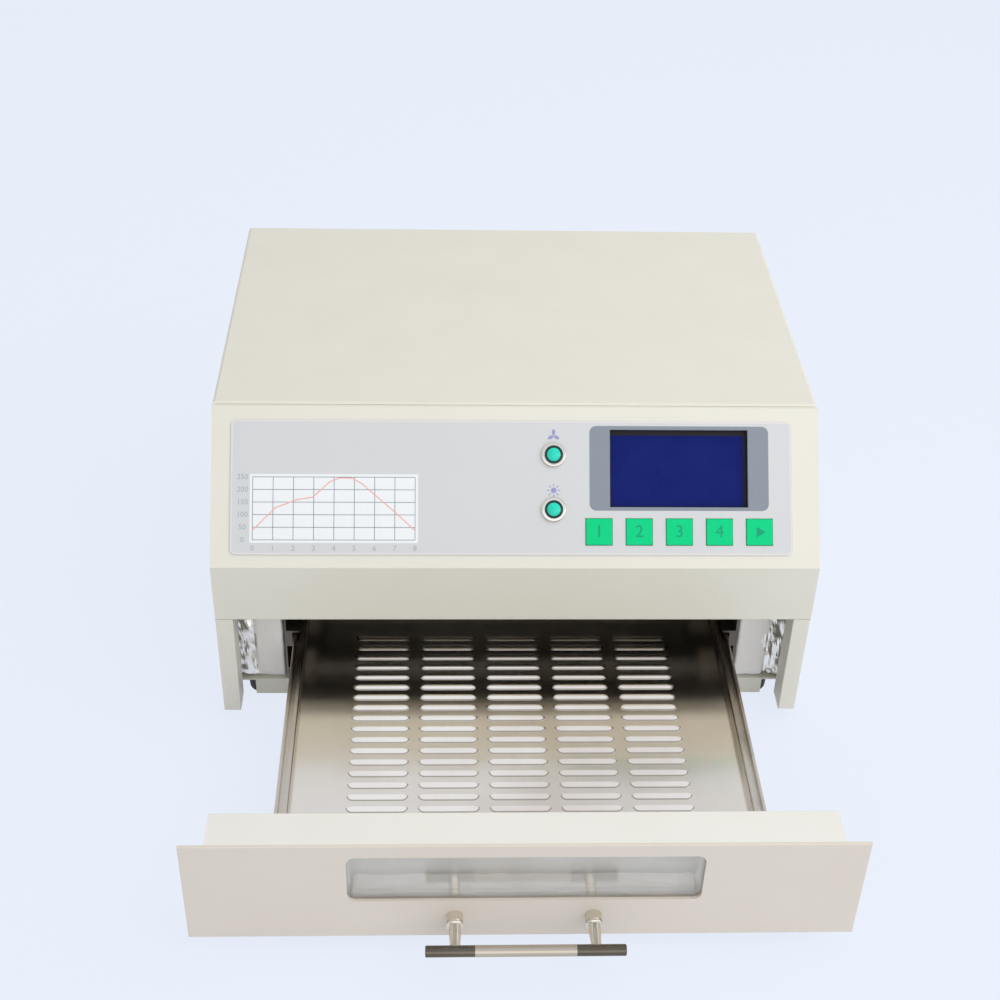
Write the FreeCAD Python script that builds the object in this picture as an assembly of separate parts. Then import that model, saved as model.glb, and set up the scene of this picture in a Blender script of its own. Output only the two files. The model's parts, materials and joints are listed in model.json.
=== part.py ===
"""Bench-top infrared reflow oven: a painted case with a sloping control panel and a louvred drawer.

Units are millimetres. X runs to the right as seen from the front, Y to the rear and Z up.
The origin is on the bench, under the middle of the case. The drawer stands open on its stop.
"""

import FreeCAD
import Part
import math
import os

V = FreeCAD.Vector
X_AXIS = V(1, 0, 0)
Y_AXIS = V(0, 1, 0)
Z_AXIS = V(0, 0, 1)

# Sheet metal and fits
sheet = 1.0
bend_radius = 2.0
seam = 0.2
fit = 0.3

# Feet and base
foot_height = 11.0
foot_radius = 9.0
foot_inset = 18.5
base_lip_drop = 9.8
base_lip_end_gap = 15.0
base_flange = 13.0
base_vent_rows = 6
base_vent_length = 60.0
base_vent_width = 4.0
base_vent_pitch = 12.0

# Drawer front
drawer_travel = 150.0
drawer_gap = 0.3
plate_sheet = 1.5
plate_bottom = 8.5
plate_top_gap = 2.0
box_depth = 19.0
box_side_gap = 2.7
box_bottom_step = 3.0
mouth_gap = 1.8
window_width = 162.0
window_height = 29.0
window_sill = 33.0
window_radius = 4.0
glass_thick = 3.0
glass_overlap = 7.0
blanket_hole_step = 1.0
drawer_blanket_gap = 1.0

# Handle
handle_centres = 64.0
handle_length = 91.0
handle_reach = 20.0
handle_rise = 14.0
bar_radius = 2.65
grip_length = 46.0
spigot_radius = 1.6
spigot_length = 6.0
spigot_clearance = 0.05
post_radius = 2.3
post_root_radius = 3.3
collar_radius = 3.9
collar_length = 6.5
collar_round = 0.8
collar_groove = 0.5
collar_groove_width = 0.8
collar_groove_place = 4.6
handle_screw_radius = 1.5
handle_screw_length = 9.0

# Drawer tray
tray_length = 185.0
tray_half = 117.5
tray_sheet = 0.8
rail_width = 6.5
rail_height = 7.0
tray_floor_rise = 18.0
louvre_columns = 5
louvre_rows = 17
louvre_length = 30.0
louvre_gap = 4.6
louvre_pitch = 7.8
louvre_rise = 1.3
louvre_width = 3.3
louvre_sheet = 0.6
tray_ledge = 9.0

# Heating chamber
under_gap = 7.0
tray_end_gap = 5.0
guide_web = 3.2
guide_clear = 0.8
guide_shelf = 1.2
guide_reach = 8.0
guide_head = 1.0
header_drop = 24.0
lamp_rise = 40.0
lamp_radius = 5.0
lamp_bore = 4.0
lamp_count = 4
filament_radius = 1.5
cap_size = 15.0
cap_length = 12.0
roof_rise = 12.0
reflector_margin = 4.0
probe_radius = 1.2
probe_length = 55.0
probe_spread = 60.0
probe_nut_radius = 4.5
probe_nut_length = 4.0

# Insulation
side_blanket = 29.7
side_air_gap = 1.5
roof_blanket = 13.9
rear_blanket = 13.7

# Case front
leg_flange = 9.0
leg_return = 14.0
cover_bottom = 8.0
chin_bottom = 71.5
fascia_bottom = 106.0
fascia_setback = 54.0
bay_height = 62.5
panel_flange = 12.0
chin_return = 10.0

# Control panel, measured along the fascia from its lower edge
overlay_thick = 0.6
overlay_margin_left = 9.9
overlay_margin_right = 14.1
overlay_low = 6.6
overlay_high = 75.2
overlay_radius = 3.0
lcd_centre_u = 82.9
lcd_centre_v = 51.0
lcd_view_width = 71.0
lcd_view_height = 39.8
lcd_frame_width = 88.0
lcd_frame_height = 46.0
lcd_frame_depth = 6.9
lcd_frame_lip = 2.2
lcd_glass_border = 1.9
lcd_board_ear = 2.0
board_thick = 1.6
key_count = 5
key_first_u = 41.7
key_pitch = 20.55
key_centre_v = 18.5
key_size = 13.4
key_clear = 0.25
key_proud = 0.7
key_flange = 1.1
key_flange_thick = 1.0
key_travel = 0.6
key_stem_radius = 1.6
switch_size = 6.0
switch_height = 3.5
switch_bore_clear = 0.2
switch_bore_depth = 2.6
key_board_margin = 8.0
lamp_light_u = 18.6
lamp_light_v = 29.8
fan_light_v = 57.8
light_bezel_radius = 6.4
light_bezel_proud = 1.6
light_lens_radius = 4.7
light_lens_proud = 3.0
light_barrel_length = 9.0
control_board_width = 108.0
control_board_low = 33.0
control_board_high = 74.0
control_board_gap = 10.7
post_size = 2.5
chip_size = 14.0
chip_thick = 1.6
buzzer_radius = 6.0
buzzer_height = 8.0

# Rear panel and what it carries
fan_size = 80.0
fan_corner_radius = 4.0
fan_depth = 25.0
fan_bore = 76.0
fan_screw_pitch = 71.5
fan_centre_x = -40.0
fan_hub_radius = 19.0
fan_tip_gap = 1.0
vent_margin = 5.0
fan_blades = 7
fan_blade_pitch = 38.0
fan_blade_thick = 2.0
fan_shaft_radius = 1.5
fan_shaft_clear = 0.05
fan_strut = 5.0
fan_motor_plate = 4.0
guard_wire = 1.8
guard_spoke = 1.3
guard_rings = 4
guard_stand = 3.0
screw_head_radius = 2.9
screw_head_height = 1.8
screw_radius = 1.5
screw_length = 6.0
inlet_x = 108.0
inlet_z = 50.0
inlet_width = 31.0
inlet_height = 39.0
inlet_flange = 2.5
inlet_body_margin = 2.0
inlet_depth = 20.0
socket_width = 24.4
socket_height = 16.6
socket_depth = 17.0
socket_rise = 7.0
pin_width = 2.0
pin_height = 4.0
pin_length = 12.0
pin_spread = 7.0
pin_drop = 2.0
carrier_width = 20.0
carrier_height = 8.0
carrier_depth = 16.0
carrier_drop = 9.5
carrier_lip = 1.2
carrier_clear = 0.25
fuse_radius = 2.5
fuse_length = 14.0
fuse_sink = 0.5
switch_x = 108.0
switch_z = 92.0
switch_width = 28.0
switch_tall = 14.0
rocker_flange = 2.0
rocker_depth = 16.0
rocker_wall = 1.5
rocker_tilt = 11.0
rocker_pin_radius = 1.5
rocker_clear = 0.3
rocker_sink = 8.0

# Electronics shelf
shelf_flange = 9.0
transformer_inset = 59.0
transformer_y = 52.0
core_width = 57.0
core_depth = 24.0
core_height = 48.0
bobbin_reach = 10.0
power_board_inset = 94.0
power_board_y = 58.0
power_board_width = 130.0
power_board_depth = 88.0
power_board_rise = 8.0
sink_fins = 7
sink_width = 60.0
sink_height = 32.0
sink_depth = 22.0
sink_base = 4.0
sink_fin = 1.6
triac_count = 3
triac_width = 10.0
triac_height = 15.0
triac_depth = 4.5
terminal_ways = 6
terminal_pitch = 9.0
terminal_depth = 12.0
terminal_height = 14.0
capacitor_radius = 6.0
capacitor_height = 18.0

# Places worked out from the sizes above
base_top = foot_height + sheet
chamber_floor = base_top + under_gap + sheet
tray_floor = chamber_floor + tray_floor_rise
lamp_level = tray_floor + lamp_rise
chamber_roof = lamp_level + roof_rise
shelf_bottom = chamber_roof + sheet + fit + roof_blanket + fit
shelf_top = shelf_bottom + sheet
case_height = shelf_top + bay_height + sheet

chamber_half = tray_half + guide_clear + guide_web
blanket_in = chamber_half + sheet + fit
blanket_out = blanket_in + side_blanket
wall_in = blanket_out + side_air_gap
half = wall_in + sheet
leg_in = half - leg_flange
transformer_x = transformer_inset - wall_in
power_board_x = wall_in - power_board_inset
box_half = leg_in - box_side_gap

mouth_offset = box_depth - drawer_gap + mouth_gap
chamber_back_offset = box_depth - drawer_gap + tray_length + tray_end_gap
fan_offset = chamber_back_offset + sheet + fit + rear_blanket + fit
case_depth = fan_offset + fan_depth + sheet
front = -case_depth / 2
rear = case_depth / 2
mouth = front + mouth_offset
chamber_back = front + chamber_back_offset
fan_front = front + fan_offset
panel_in = rear - sheet

plate_top = chin_bottom - plate_top_gap
plate_back = front - drawer_gap - drawer_travel
plate_front = plate_back - plate_sheet
box_back = plate_back + box_depth
tray_front = box_back
tray_back = tray_front + tray_length
window_top = window_sill + window_height
box_bottom = plate_bottom + box_bottom_step
handle_level = plate_bottom + handle_rise
bar_y = plate_front - handle_reach

fascia_rise = case_height - fascia_bottom
fascia_lean = math.degrees(math.atan2(fascia_setback, fascia_rise))
fascia_frame = FreeCAD.Placement(V(0, front, fascia_bottom), FreeCAD.Rotation(X_AXIS, 90 - fascia_lean))

rail_bottom = tray_floor - tray_sheet
rail_top = rail_bottom + rail_height
guide_bottom = rail_bottom - fit - guide_shelf
guide_top = rail_top + guide_head + guide_shelf
guide_tip = tray_half + guide_clear - guide_reach

panel_back = -sheet
overlay_left = overlay_margin_left - half
overlay_right = half - overlay_margin_right
lcd_frame_front = panel_back - 0.1
lcd_frame_back = lcd_frame_front - lcd_frame_depth
lcd_glass_front = lcd_frame_front - lcd_frame_lip
key_flange_front = panel_back - 0.1
key_flange_back = key_flange_front - key_flange_thick
switch_top = key_flange_back - key_travel - fit
switch_bottom = switch_top - switch_height
key_board_back = switch_bottom - board_thick
lcd_board_back = lcd_frame_back - board_thick
control_board_front = lcd_board_back - control_board_gap
control_board_back = control_board_front - board_thick
fan_z = (chamber_floor + chamber_roof) / 2
duct_radius = fan_bore / 2
vent_radius = fan_z - chamber_floor - vent_margin
bar_end = handle_length / 2
key_centres_u = [key_first_u + key_pitch * i for i in range(key_count)]
light_centres_v = [fan_light_v, lamp_light_v]
fan_corner = fan_screw_pitch / 2
fan_screw_places = [
    (fan_centre_x + sx * fan_corner, fan_z + sz * fan_corner) for sx in (-1, 1) for sz in (-1, 1)
]
foot_front_y = mouth + sheet + 0.5 + foot_radius
foot_rear_y = rear - foot_inset
foot_x = half - foot_inset
foot_places = [(sx * foot_x, y) for sx in (-1, 1) for y in (foot_front_y, foot_rear_y)]


def block(x0, x1, y0, y1, z0, z1):
    """A box between two corners."""
    return Part.makeBox(x1 - x0, y1 - y0, z1 - z0, V(x0, y0, z0))


def rod(radius, start, direction, length):
    """A round bar from a start point."""
    return Part.makeCylinder(radius, length, start, direction)


def rounded(solid, axis, radius):
    """A box with the four edges along one axis rounded."""
    edges = [e for e in solid.Edges if abs(e.tangentAt(e.FirstParameter).dot(axis)) > 0.999]
    return solid.makeFillet(radius, edges)


def prism(points, x0, x1):
    """An outline in Y and Z drawn out along X."""
    wire = Part.makePolygon([V(x0, y, z) for y, z in points + points[:1]])
    return Part.Face(wire).extrude(V(x1 - x0, 0, 0))


def both_sides(solid):
    """A solid with its mirror image on the other side of the case."""
    return [solid, solid.mirror(V(0, 0, 0), X_AXIS)]


def on_fascia(shape):
    """Moves a shape drawn flat, with Z as the panel's outward normal, on to the sloping fascia."""
    placed = shape.copy()
    placed.Placement = fascia_frame.multiply(placed.Placement)
    return placed


def pan_screw(point, inward, shank=screw_length):
    """A pan-head screw: head outside a face at the point, shank along the inward direction."""
    head = rod(screw_head_radius, point - inward * screw_head_height, inward, screw_head_height)
    crown = max(head.Edges, key=lambda e: -e.CenterOfMass.dot(inward))
    head = head.makeFillet(screw_head_height * 0.45, [crown])
    slot_depth = screw_head_height * 0.5
    side = Z_AXIS if abs(inward.z) < 0.5 else X_AXIS
    long_side = inward.cross(side)
    width, reach = screw_radius * 0.4, screw_head_radius * 0.65
    for a, b in ((side, long_side), (long_side, side)):
        corner = point - inward * screw_head_height - a * reach - b * (width / 2)
        wire = Part.makePolygon(
            [corner, corner + a * 2 * reach, corner + a * 2 * reach + b * width, corner + b * width, corner]
        )
        head = head.cut(Part.Face(wire).extrude(inward * slot_depth))
    return head.fuse(rod(screw_radius, point, inward, shank)).removeSplitter()


def save(name, shapes):
    """Writes one node, as one solid or as a group of separate solids."""
    shapes = shapes if isinstance(shapes, list) else [shapes]
    solids = [s for shape in shapes for s in shape.Solids]
    if not solids or not all(s.isValid() and s.Volume > 0 for s in solids):
        raise ValueError("a solid of " + name + " is not valid")
    shape = solids[0] if len(solids) == 1 else Part.makeCompound(solids)
    shape.exportStep("parts/" + name + ".step")
    print(name, len(solids), "solids", round(sum(s.Volume for s in solids)), "mm3")


# Where the case is screwed together, on the right-hand side
side_screw_places = [
    (front + case_depth * 0.28, base_top + base_flange * 0.5),
    (front + case_depth * 0.72, base_top + base_flange * 0.5),
    (panel_in - panel_flange * 0.5, base_top + fan_size * 0.6),
    (panel_in - panel_flange * 0.5, shelf_top + bay_height * 0.6),
    (front + case_depth * 0.6, shelf_top + shelf_flange * 0.55),
]


def side_holes():
    """Clearance holes for the case screws through both side walls."""
    reach = 4 * sheet
    holes = [rod(screw_radius + fit, V(half + sheet, y, z), -X_AXIS, reach) for y, z in side_screw_places]
    return Part.makeCompound([h for hole in holes for h in both_sides(hole)])


def case_cover():
    """Top and two side walls folded from one sheet, with the flanged front edges below the chin."""
    behind = sheet + seam
    cut_back = behind / math.cos(math.radians(fascia_lean))
    wall = [
        (front + behind, chin_bottom),
        (front + behind, fascia_bottom),
        (front + fascia_setback + cut_back, case_height),
        (rear, case_height),
        (rear, cover_bottom),
        (front, cover_bottom),
        (front, chin_bottom),
    ]
    outer = prism(wall, -half, half)
    top_edges = [
        e
        for e in outer.Edges
        if abs(e.CenterOfMass.z - case_height) < 0.01 and abs(abs(e.CenterOfMass.x) - half) < 0.01
    ]
    outer = outer.makeFillet(bend_radius, top_edges)
    inner = block(-wall_in, wall_in, front - sheet, rear + sheet, 0, case_height - sheet)
    inner_edges = [
        e
        for e in inner.Edges
        if abs(e.CenterOfMass.z - case_height + sheet) < 0.01
        and abs(abs(e.CenterOfMass.x) - wall_in) < 0.01
    ]
    cover = outer.cut(inner.makeFillet(bend_radius - sheet, inner_edges))
    for side in (-1, 1):
        x0, x1 = sorted((side * leg_in, side * (wall_in + sheet / 2)))
        flange = block(x0, x1, front, front + sheet, cover_bottom, chin_bottom)
        x0, x1 = sorted((side * leg_in, side * (leg_in + sheet)))
        lip = block(x0, x1, front, front + leg_return, cover_bottom, chin_bottom)
        cover = cover.fuse(flange.fuse(lip))
    cover = cover.removeSplitter()
    leg_edges = [
        e
        for e in cover.Edges
        if abs(e.CenterOfMass.y - front) < 0.01
        and abs(e.tangentAt(e.FirstParameter).z) > 0.999
        and abs(e.CenterOfMass.z - (cover_bottom + chin_bottom) / 2) < 1
    ]
    return cover.makeFillet(sheet * 0.6, leg_edges).cut(side_holes())


def panel_openings():
    """The holes through the fascia, drawn flat."""
    deep = 4 * sheet
    lcd = Part.makeBox(lcd_view_width, lcd_view_height, 2 * deep)
    lcd.translate(V(lcd_centre_u - lcd_view_width / 2, lcd_centre_v - lcd_view_height / 2, -deep))
    tools = [lcd]
    hole = key_size + 2 * key_clear
    for u in key_centres_u:
        opening = Part.makeBox(hole, hole, 2 * deep)
        opening.translate(V(u - hole / 2, key_centre_v - hole / 2, -deep))
        tools.append(opening)
    for v in light_centres_v:
        tools.append(rod(light_lens_radius + fit, V(lamp_light_u, v, -deep), Z_AXIS, 2 * deep))
    return Part.makeCompound(tools)


def front_panel():
    """Chin and sloping fascia folded from one sheet, with a flange under the cover and a lower return."""
    lean = math.radians(fascia_lean)
    shift = math.tan(lean / 2) * sheet
    top_y = front + fascia_setback
    under = case_height - sheet - seam
    drop = (case_height - under) * math.tan(lean)
    inner_top = sheet * math.tan((math.pi / 2 - lean) / 2)
    outline = [
        (front, chin_bottom),
        (front, fascia_bottom),
        (top_y - drop, under),
        (top_y + panel_flange, under),
        (top_y + panel_flange, under - sheet),
        (top_y - drop + inner_top, under - sheet),
        (front + sheet, fascia_bottom - shift),
        (front + sheet, chin_bottom + sheet),
        (front + chin_return, chin_bottom + sheet),
        (front + chin_return, chin_bottom),
    ]
    panel = prism(outline, -half, half)
    clear = wall_in - seam
    trim_back = block(-half - 1, half + 1, top_y - drop + bend_radius, rear, under - 2 * sheet, case_height)
    trim_back = trim_back.cut(block(-clear, clear, front, rear, 0, case_height))
    trim_top = fascia_bottom - bend_radius
    trim_low = block(-half - 1, half + 1, front + sheet, front + chin_return + 1, 0, trim_top)
    trim_low = trim_low.cut(block(-leg_in, leg_in, front, rear, 0, case_height))
    panel = panel.cut(trim_back).cut(trim_low)
    bends = [
        e
        for e in panel.Edges
        if abs(e.tangentAt(e.FirstParameter).x) > 0.999
        and abs(e.CenterOfMass.y - front) < 0.01
        and e.Length > case_depth
    ]
    panel = panel.makeFillet(sheet * 0.9, bends)
    return panel.cut(on_fascia(panel_openings()))


def control_overlay():
    """Thin printed label stuck on the fascia, cut out for the display, the keys and the two lights."""
    plate = block(overlay_left, overlay_right, overlay_low, overlay_high, 0, overlay_thick)
    plate = rounded(plate, Z_AXIS, overlay_radius)
    return on_fascia(plate.cut(panel_openings()))


def key(u):
    """One push key: cap through the panel, a flange that keeps it in and a stem into its switch."""
    cap_front = overlay_thick + key_proud
    cap = Part.makeBox(key_size, key_size, cap_front - key_flange_front)
    cap.translate(V(u - key_size / 2, key_centre_v - key_size / 2, key_flange_front))
    cap = rounded(cap, Z_AXIS, 0.8)
    rim = [e for e in cap.Edges if abs(e.CenterOfMass.z - cap_front) < 1e-6]
    cap = cap.makeFillet(key_proud * 0.5, rim)
    wide = key_size + 2 * key_flange
    flange = Part.makeBox(wide, wide, key_flange_thick)
    flange.translate(V(u - wide / 2, key_centre_v - wide / 2, key_flange_back))
    stem_end = switch_top - switch_bore_depth + key_travel + fit
    stem = rod(key_stem_radius, V(u, key_centre_v, stem_end), Z_AXIS, key_flange_back - stem_end)
    return on_fascia(cap.fuse([flange, stem]).removeSplitter())


def key_switches():
    """A small push switch behind each key, drawn flat."""
    bodies = []
    for u in key_centres_u:
        body = Part.makeBox(switch_size, switch_size, switch_height)
        body.translate(V(u - switch_size / 2, key_centre_v - switch_size / 2, switch_bottom))
        mouth_point = V(u, key_centre_v, switch_top)
        bore = rod(key_stem_radius + switch_bore_clear, mouth_point, -Z_AXIS, switch_bore_depth)
        bodies.append(body.cut(bore))
    return bodies


def board_post_places():
    """Where the key board's spacers stand: between the keys and past both ends."""
    gaps = [key_first_u + key_pitch * (i + 0.5) for i in range(-1, key_count)]
    return [gaps[0], gaps[2], gaps[3], gaps[-1]]


def key_board():
    """Circuit board with the key switches on it."""
    low, high = board_post_places()[0], board_post_places()[-1]
    board = Part.makeBox(high - low + 2 * post_size + 2, 2 * key_board_margin, board_thick)
    board.translate(V(low - post_size - 1, key_centre_v - key_board_margin, key_board_back))
    return on_fascia(board.fuse(key_switches()).removeSplitter())


def key_board_spacers():
    """Spacers between the fascia and the key board."""
    length = panel_back - switch_bottom
    starts = [V(u, key_centre_v, switch_bottom) for u in board_post_places()]
    return [on_fascia(rod(post_size * 0.7, start, Z_AXIS, length)) for start in starts]


def lcd_plate(width, height, n0, n1):
    """A plate centred on the display, drawn flat."""
    plate = Part.makeBox(width, height, n1 - n0)
    plate.translate(V(lcd_centre_u - width / 2, lcd_centre_v - height / 2, n0))
    return plate


def lcd_frame():
    """Black metal frame of the display, with a lip round the view."""
    glass_w = lcd_view_width + 2 * lcd_glass_border
    glass_h = lcd_view_height + 2 * lcd_glass_border
    view_w, view_h = lcd_view_width + 0.6, lcd_view_height + 0.6
    frame = lcd_plate(lcd_frame_width, lcd_frame_height, lcd_frame_back, lcd_frame_front)
    frame = frame.cut(lcd_plate(view_w, view_h, lcd_frame_back, lcd_frame_front))
    return on_fascia(frame.cut(lcd_plate(glass_w, glass_h, lcd_frame_back, lcd_glass_front)))


def lcd_glass():
    """Liquid-crystal cell and its light guide, behind the frame's lip."""
    width = lcd_view_width + 2 * lcd_glass_border - fit
    height = lcd_view_height + 2 * lcd_glass_border - fit
    return on_fascia(lcd_plate(width, height, lcd_frame_back, lcd_glass_front))


def lcd_board():
    """Display's circuit board behind its frame."""
    width = lcd_frame_width + 2 * lcd_board_ear
    return on_fascia(lcd_plate(width, lcd_frame_height + sheet, lcd_board_back, lcd_frame_back))


def control_board():
    """Main control board with its chips and buzzer, parallel to the fascia behind the display."""
    low, high = control_board_low, control_board_high
    board = Part.makeBox(control_board_width, high - low, board_thick)
    board.translate(V(lcd_centre_u - control_board_width / 2, low, control_board_back))
    return on_fascia(board.fuse(control_chips()).removeSplitter())


def control_board_spacers():
    """Four spacers between the display's board and the control board."""
    spread_u = lcd_frame_width / 2 - post_size
    low, high = control_board_low + 2 * post_size, control_board_high - 2 * post_size
    starts = [V(lcd_centre_u + s * spread_u, v, control_board_front) for s in (-1, 1) for v in (low, high)]
    return [on_fascia(rod(post_size, start, Z_AXIS, control_board_gap)) for start in starts]


def control_chips():
    """Processor, driver chips and buzzer on the back of the control board, drawn flat."""
    middle = (control_board_low + control_board_high) / 2
    parts = []
    for shift in (-1.6, 0, 1.6):
        chip = Part.makeBox(chip_size, chip_size, chip_thick)
        left = lcd_centre_u + (shift - 0.5) * chip_size
        chip.translate(V(left, middle, control_board_back - chip_thick))
        parts.append(chip)
    buzzer = V(lcd_centre_u + control_board_width / 2 - 2 * buzzer_radius, middle, control_board_back)
    parts.append(rod(buzzer_radius, buzzer, -Z_AXIS, buzzer_height))
    return parts


def light_bezels():
    """Plated bezels of the two indicator lights, with a barrel through the panel."""
    rings = []
    for v in light_centres_v:
        base = V(lamp_light_u, v, overlay_thick)
        ring = rod(light_bezel_radius, base, Z_AXIS, light_bezel_proud)
        crown = max(ring.Edges, key=lambda e: e.CenterOfMass.z)
        ring = ring.makeFillet(light_bezel_proud * 0.6, [crown])
        ring = ring.cut(rod(light_lens_radius, base, Z_AXIS, light_bezel_proud))
        rings.append(on_fascia(ring))
    return rings


def light_lens(v):
    """Domed coloured lens of an indicator light, with its barrel behind the panel."""
    front_n = overlay_thick + light_lens_proud
    radius = light_lens_radius - 0.05
    back = panel_back - light_barrel_length
    lens = rod(radius, V(lamp_light_u, v, back), Z_AXIS, front_n - back)
    crown = max(lens.Edges, key=lambda e: e.CenterOfMass.z)
    return on_fascia(lens.makeFillet(light_lens_proud * 0.8, [crown]))


def base_pan():
    """Bottom plate with a turned-down front lip and turned-up side flanges."""
    edge = wall_in - seam
    plate = block(-edge, edge, mouth, panel_in - seam, foot_height, base_top)
    lip_half = half - base_lip_end_gap
    lip = block(-lip_half, lip_half, mouth, mouth + sheet, foot_height - base_lip_drop, foot_height)
    pan = plate.fuse(lip)
    start = mouth + leg_return
    flange_end = panel_in - panel_flange - 4 * seam
    flange = block(edge - sheet, edge, start, flange_end, base_top, base_top + base_flange)
    pan = pan.fuse(both_sides(flange)).removeSplitter()
    for row in range(base_vent_rows):
        y = (row - (base_vent_rows - 1) / 2) * base_vent_pitch
        reach = base_vent_length / 2
        slot = block(-reach, reach, y, y + base_vent_width, foot_height - 1, base_top + 1)
        pan = pan.cut(slot)
    for x, y in foot_places:
        pan = pan.cut(rod(screw_radius + fit, V(x, y, foot_height - 1), Z_AXIS, sheet + 2))
    return pan.cut(side_holes())


def feet():
    """Four rubber feet with a recess for the screw."""
    made = []
    for x, y in foot_places:
        foot = Part.makeCone(foot_radius * 0.9, foot_radius, foot_height, V(x, y, 0), Z_AXIS)
        recess = rod(screw_head_radius + 1, V(x, y, 0), Z_AXIS, foot_height * 0.5)
        hole = rod(screw_radius + fit, V(x, y, 0), Z_AXIS, foot_height)
        made.append(foot.cut(recess.fuse(hole)))
    return made


def foot_screws():
    """Screws that hold the feet, with their heads up inside the recess."""
    shank = foot_height * 0.5 + sheet
    return [pan_screw(V(x, y, foot_height * 0.5), Z_AXIS, shank) for x, y in foot_places]


def case_screws():
    """Pan-head screws along both sides of the case."""
    made = []
    for y, z in side_screw_places:
        for side in (-1, 1):
            made.append(pan_screw(V(side * half, y, z), -X_AXIS * side, 3 * sheet))
    return made


def chamber_wall(side):
    """Side wall of the heating chamber."""
    x0, x1 = sorted((side * chamber_half, side * (chamber_half + sheet)))
    return block(x0, x1, mouth, chamber_back, chamber_floor, chamber_roof)


def chamber_floor_plate():
    """Bottom of the heating chamber, on two folded runners that stand on the base."""
    edge = chamber_half + sheet
    plate = block(-edge, edge, mouth, chamber_back + sheet, chamber_floor - sheet, chamber_floor)
    runner = block(edge - sheet, edge, mouth, chamber_back, base_top, chamber_floor - sheet)
    return plate.fuse(both_sides(runner)).removeSplitter()


def chamber_roof_plate():
    """Top of the heating chamber, with its front edge folded down over the drawer's mouth."""
    edge = chamber_half + sheet
    top = chamber_roof + sheet
    plate = block(-edge, edge, mouth, chamber_back + sheet, chamber_roof, top)
    header = block(-edge, edge, mouth - sheet, mouth, top - header_drop, top)
    return plate.fuse(header).removeSplitter()


def chamber_rear_plate():
    """Back of the heating chamber, with the round duct to the fan and the probe holes."""
    edge = chamber_half + sheet
    plate = block(-edge, edge, chamber_back, chamber_back + sheet, chamber_floor, chamber_roof)
    plate = plate.cut(rod(vent_radius, V(fan_centre_x, chamber_back - 1, fan_z), Y_AXIS, sheet + 2))
    for x in probe_places():
        plate = plate.cut(rod(probe_radius + fit, V(x, chamber_back - 1, probe_level()), Y_AXIS, sheet + 2))
    return plate


def guide_rail():
    """Right-hand C-shaped rail that carries the tray."""
    x_in = tray_half + guide_clear
    back = chamber_back
    web = block(x_in, chamber_half, mouth, back, guide_bottom, guide_top)
    shelf = block(guide_tip, x_in, mouth, back, guide_bottom, guide_bottom + guide_shelf)
    head = block(x_in - guide_reach / 2, x_in, mouth, back, guide_top - guide_shelf, guide_top)
    return web.fuse([shelf, head]).removeSplitter()


def lamp_places():
    """Distance of each lamp along the chamber."""
    depth = chamber_back - mouth
    return [mouth + depth * (i + 0.5) / lamp_count for i in range(lamp_count)]


def quartz_tubes():
    """Hollow quartz tubes of the infrared lamps."""
    reach = chamber_half - cap_length / 2
    tubes = []
    for y in lamp_places():
        start = V(-reach, y, lamp_level)
        bore = rod(lamp_bore, start, X_AXIS, 2 * reach)
        tubes.append(rod(lamp_radius, start, X_AXIS, 2 * reach).cut(bore))
    return tubes


def lamp_filaments():
    """Heating wire on its support rod, inside each tube."""
    reach = chamber_half - cap_length / 2
    return [rod(filament_radius, V(-reach, y, lamp_level), X_AXIS, 2 * reach) for y in lamp_places()]


def lamp_caps():
    """Ceramic blocks that hold the tubes at both side walls."""
    caps = []
    depth = cap_length / 2
    for y in lamp_places():
        x0, x1 = chamber_half - cap_length, chamber_half
        y0, z0 = y - cap_size / 2, lamp_level - cap_size / 2
        cap = block(x0, x1, y0, y0 + cap_size, z0, z0 + cap_size)
        cap = cap.cut(rod(lamp_radius + 0.02, V(x0, y, lamp_level), X_AXIS, depth))
        caps += both_sides(cap)
    return caps


def reflector():
    """Polished sheet above the lamps, hung from the roof on folded edges."""
    edge = chamber_half - reflector_margin
    y0, y1 = mouth + reflector_margin, chamber_back - reflector_margin
    level = lamp_level + lamp_radius + 2
    sheet_half = edge - cap_length
    plate = block(-sheet_half, sheet_half, y0, y1, level, level + sheet)
    hanger = block(sheet_half - sheet, sheet_half, y0, y1, level + sheet, chamber_roof)
    return plate.fuse(both_sides(hanger)).removeSplitter()


def probe_places():
    """Distance of each temperature probe from the middle."""
    return [-probe_spread + fan_centre_x / 2 - fan_bore / 4, probe_spread]


def probe_level():
    """Height of the probes, just over a board lying on the tray."""
    return rail_top + 5 * probe_radius


def thermocouples():
    """Two temperature probes, each with its nut on the chamber's back wall."""
    made = []
    for x in probe_places():
        start = V(x, chamber_back - probe_length, probe_level())
        sheath = rod(probe_radius, start, Y_AXIS, probe_length + sheet + fit)
        nut = rod(probe_nut_radius, V(x, chamber_back, probe_level()), -Y_AXIS, probe_nut_length)
        made.append(sheath.fuse(nut).removeSplitter())
    return made


def side_insulation(side):
    """Foil-wrapped fibre blanket beside the chamber."""
    x0, x1 = sorted((side * blanket_in, side * (blanket_out - sheet)))
    blanket = block(x0, x1, mouth, chamber_back, base_top + fit, chamber_roof)
    return rounded(blanket, Z_AXIS, 3.0)


def roof_insulation():
    """Fibre blanket between the chamber and the electronics shelf."""
    z0 = chamber_roof + sheet + fit
    return block(-chamber_half, chamber_half, mouth, chamber_back, z0, z0 + roof_blanket)


def rear_insulation():
    """Fibre blanket behind the chamber, with a hole for the fan's duct."""
    y0 = chamber_back + sheet + fit
    z0, z1 = base_top + fit, chamber_roof
    blanket = block(-chamber_half, chamber_half, y0, y0 + rear_blanket, z0, z1)
    return blanket.cut(rod(vent_radius, V(fan_centre_x, y0 - 1, fan_z), Y_AXIS, rear_blanket + 2))


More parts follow.
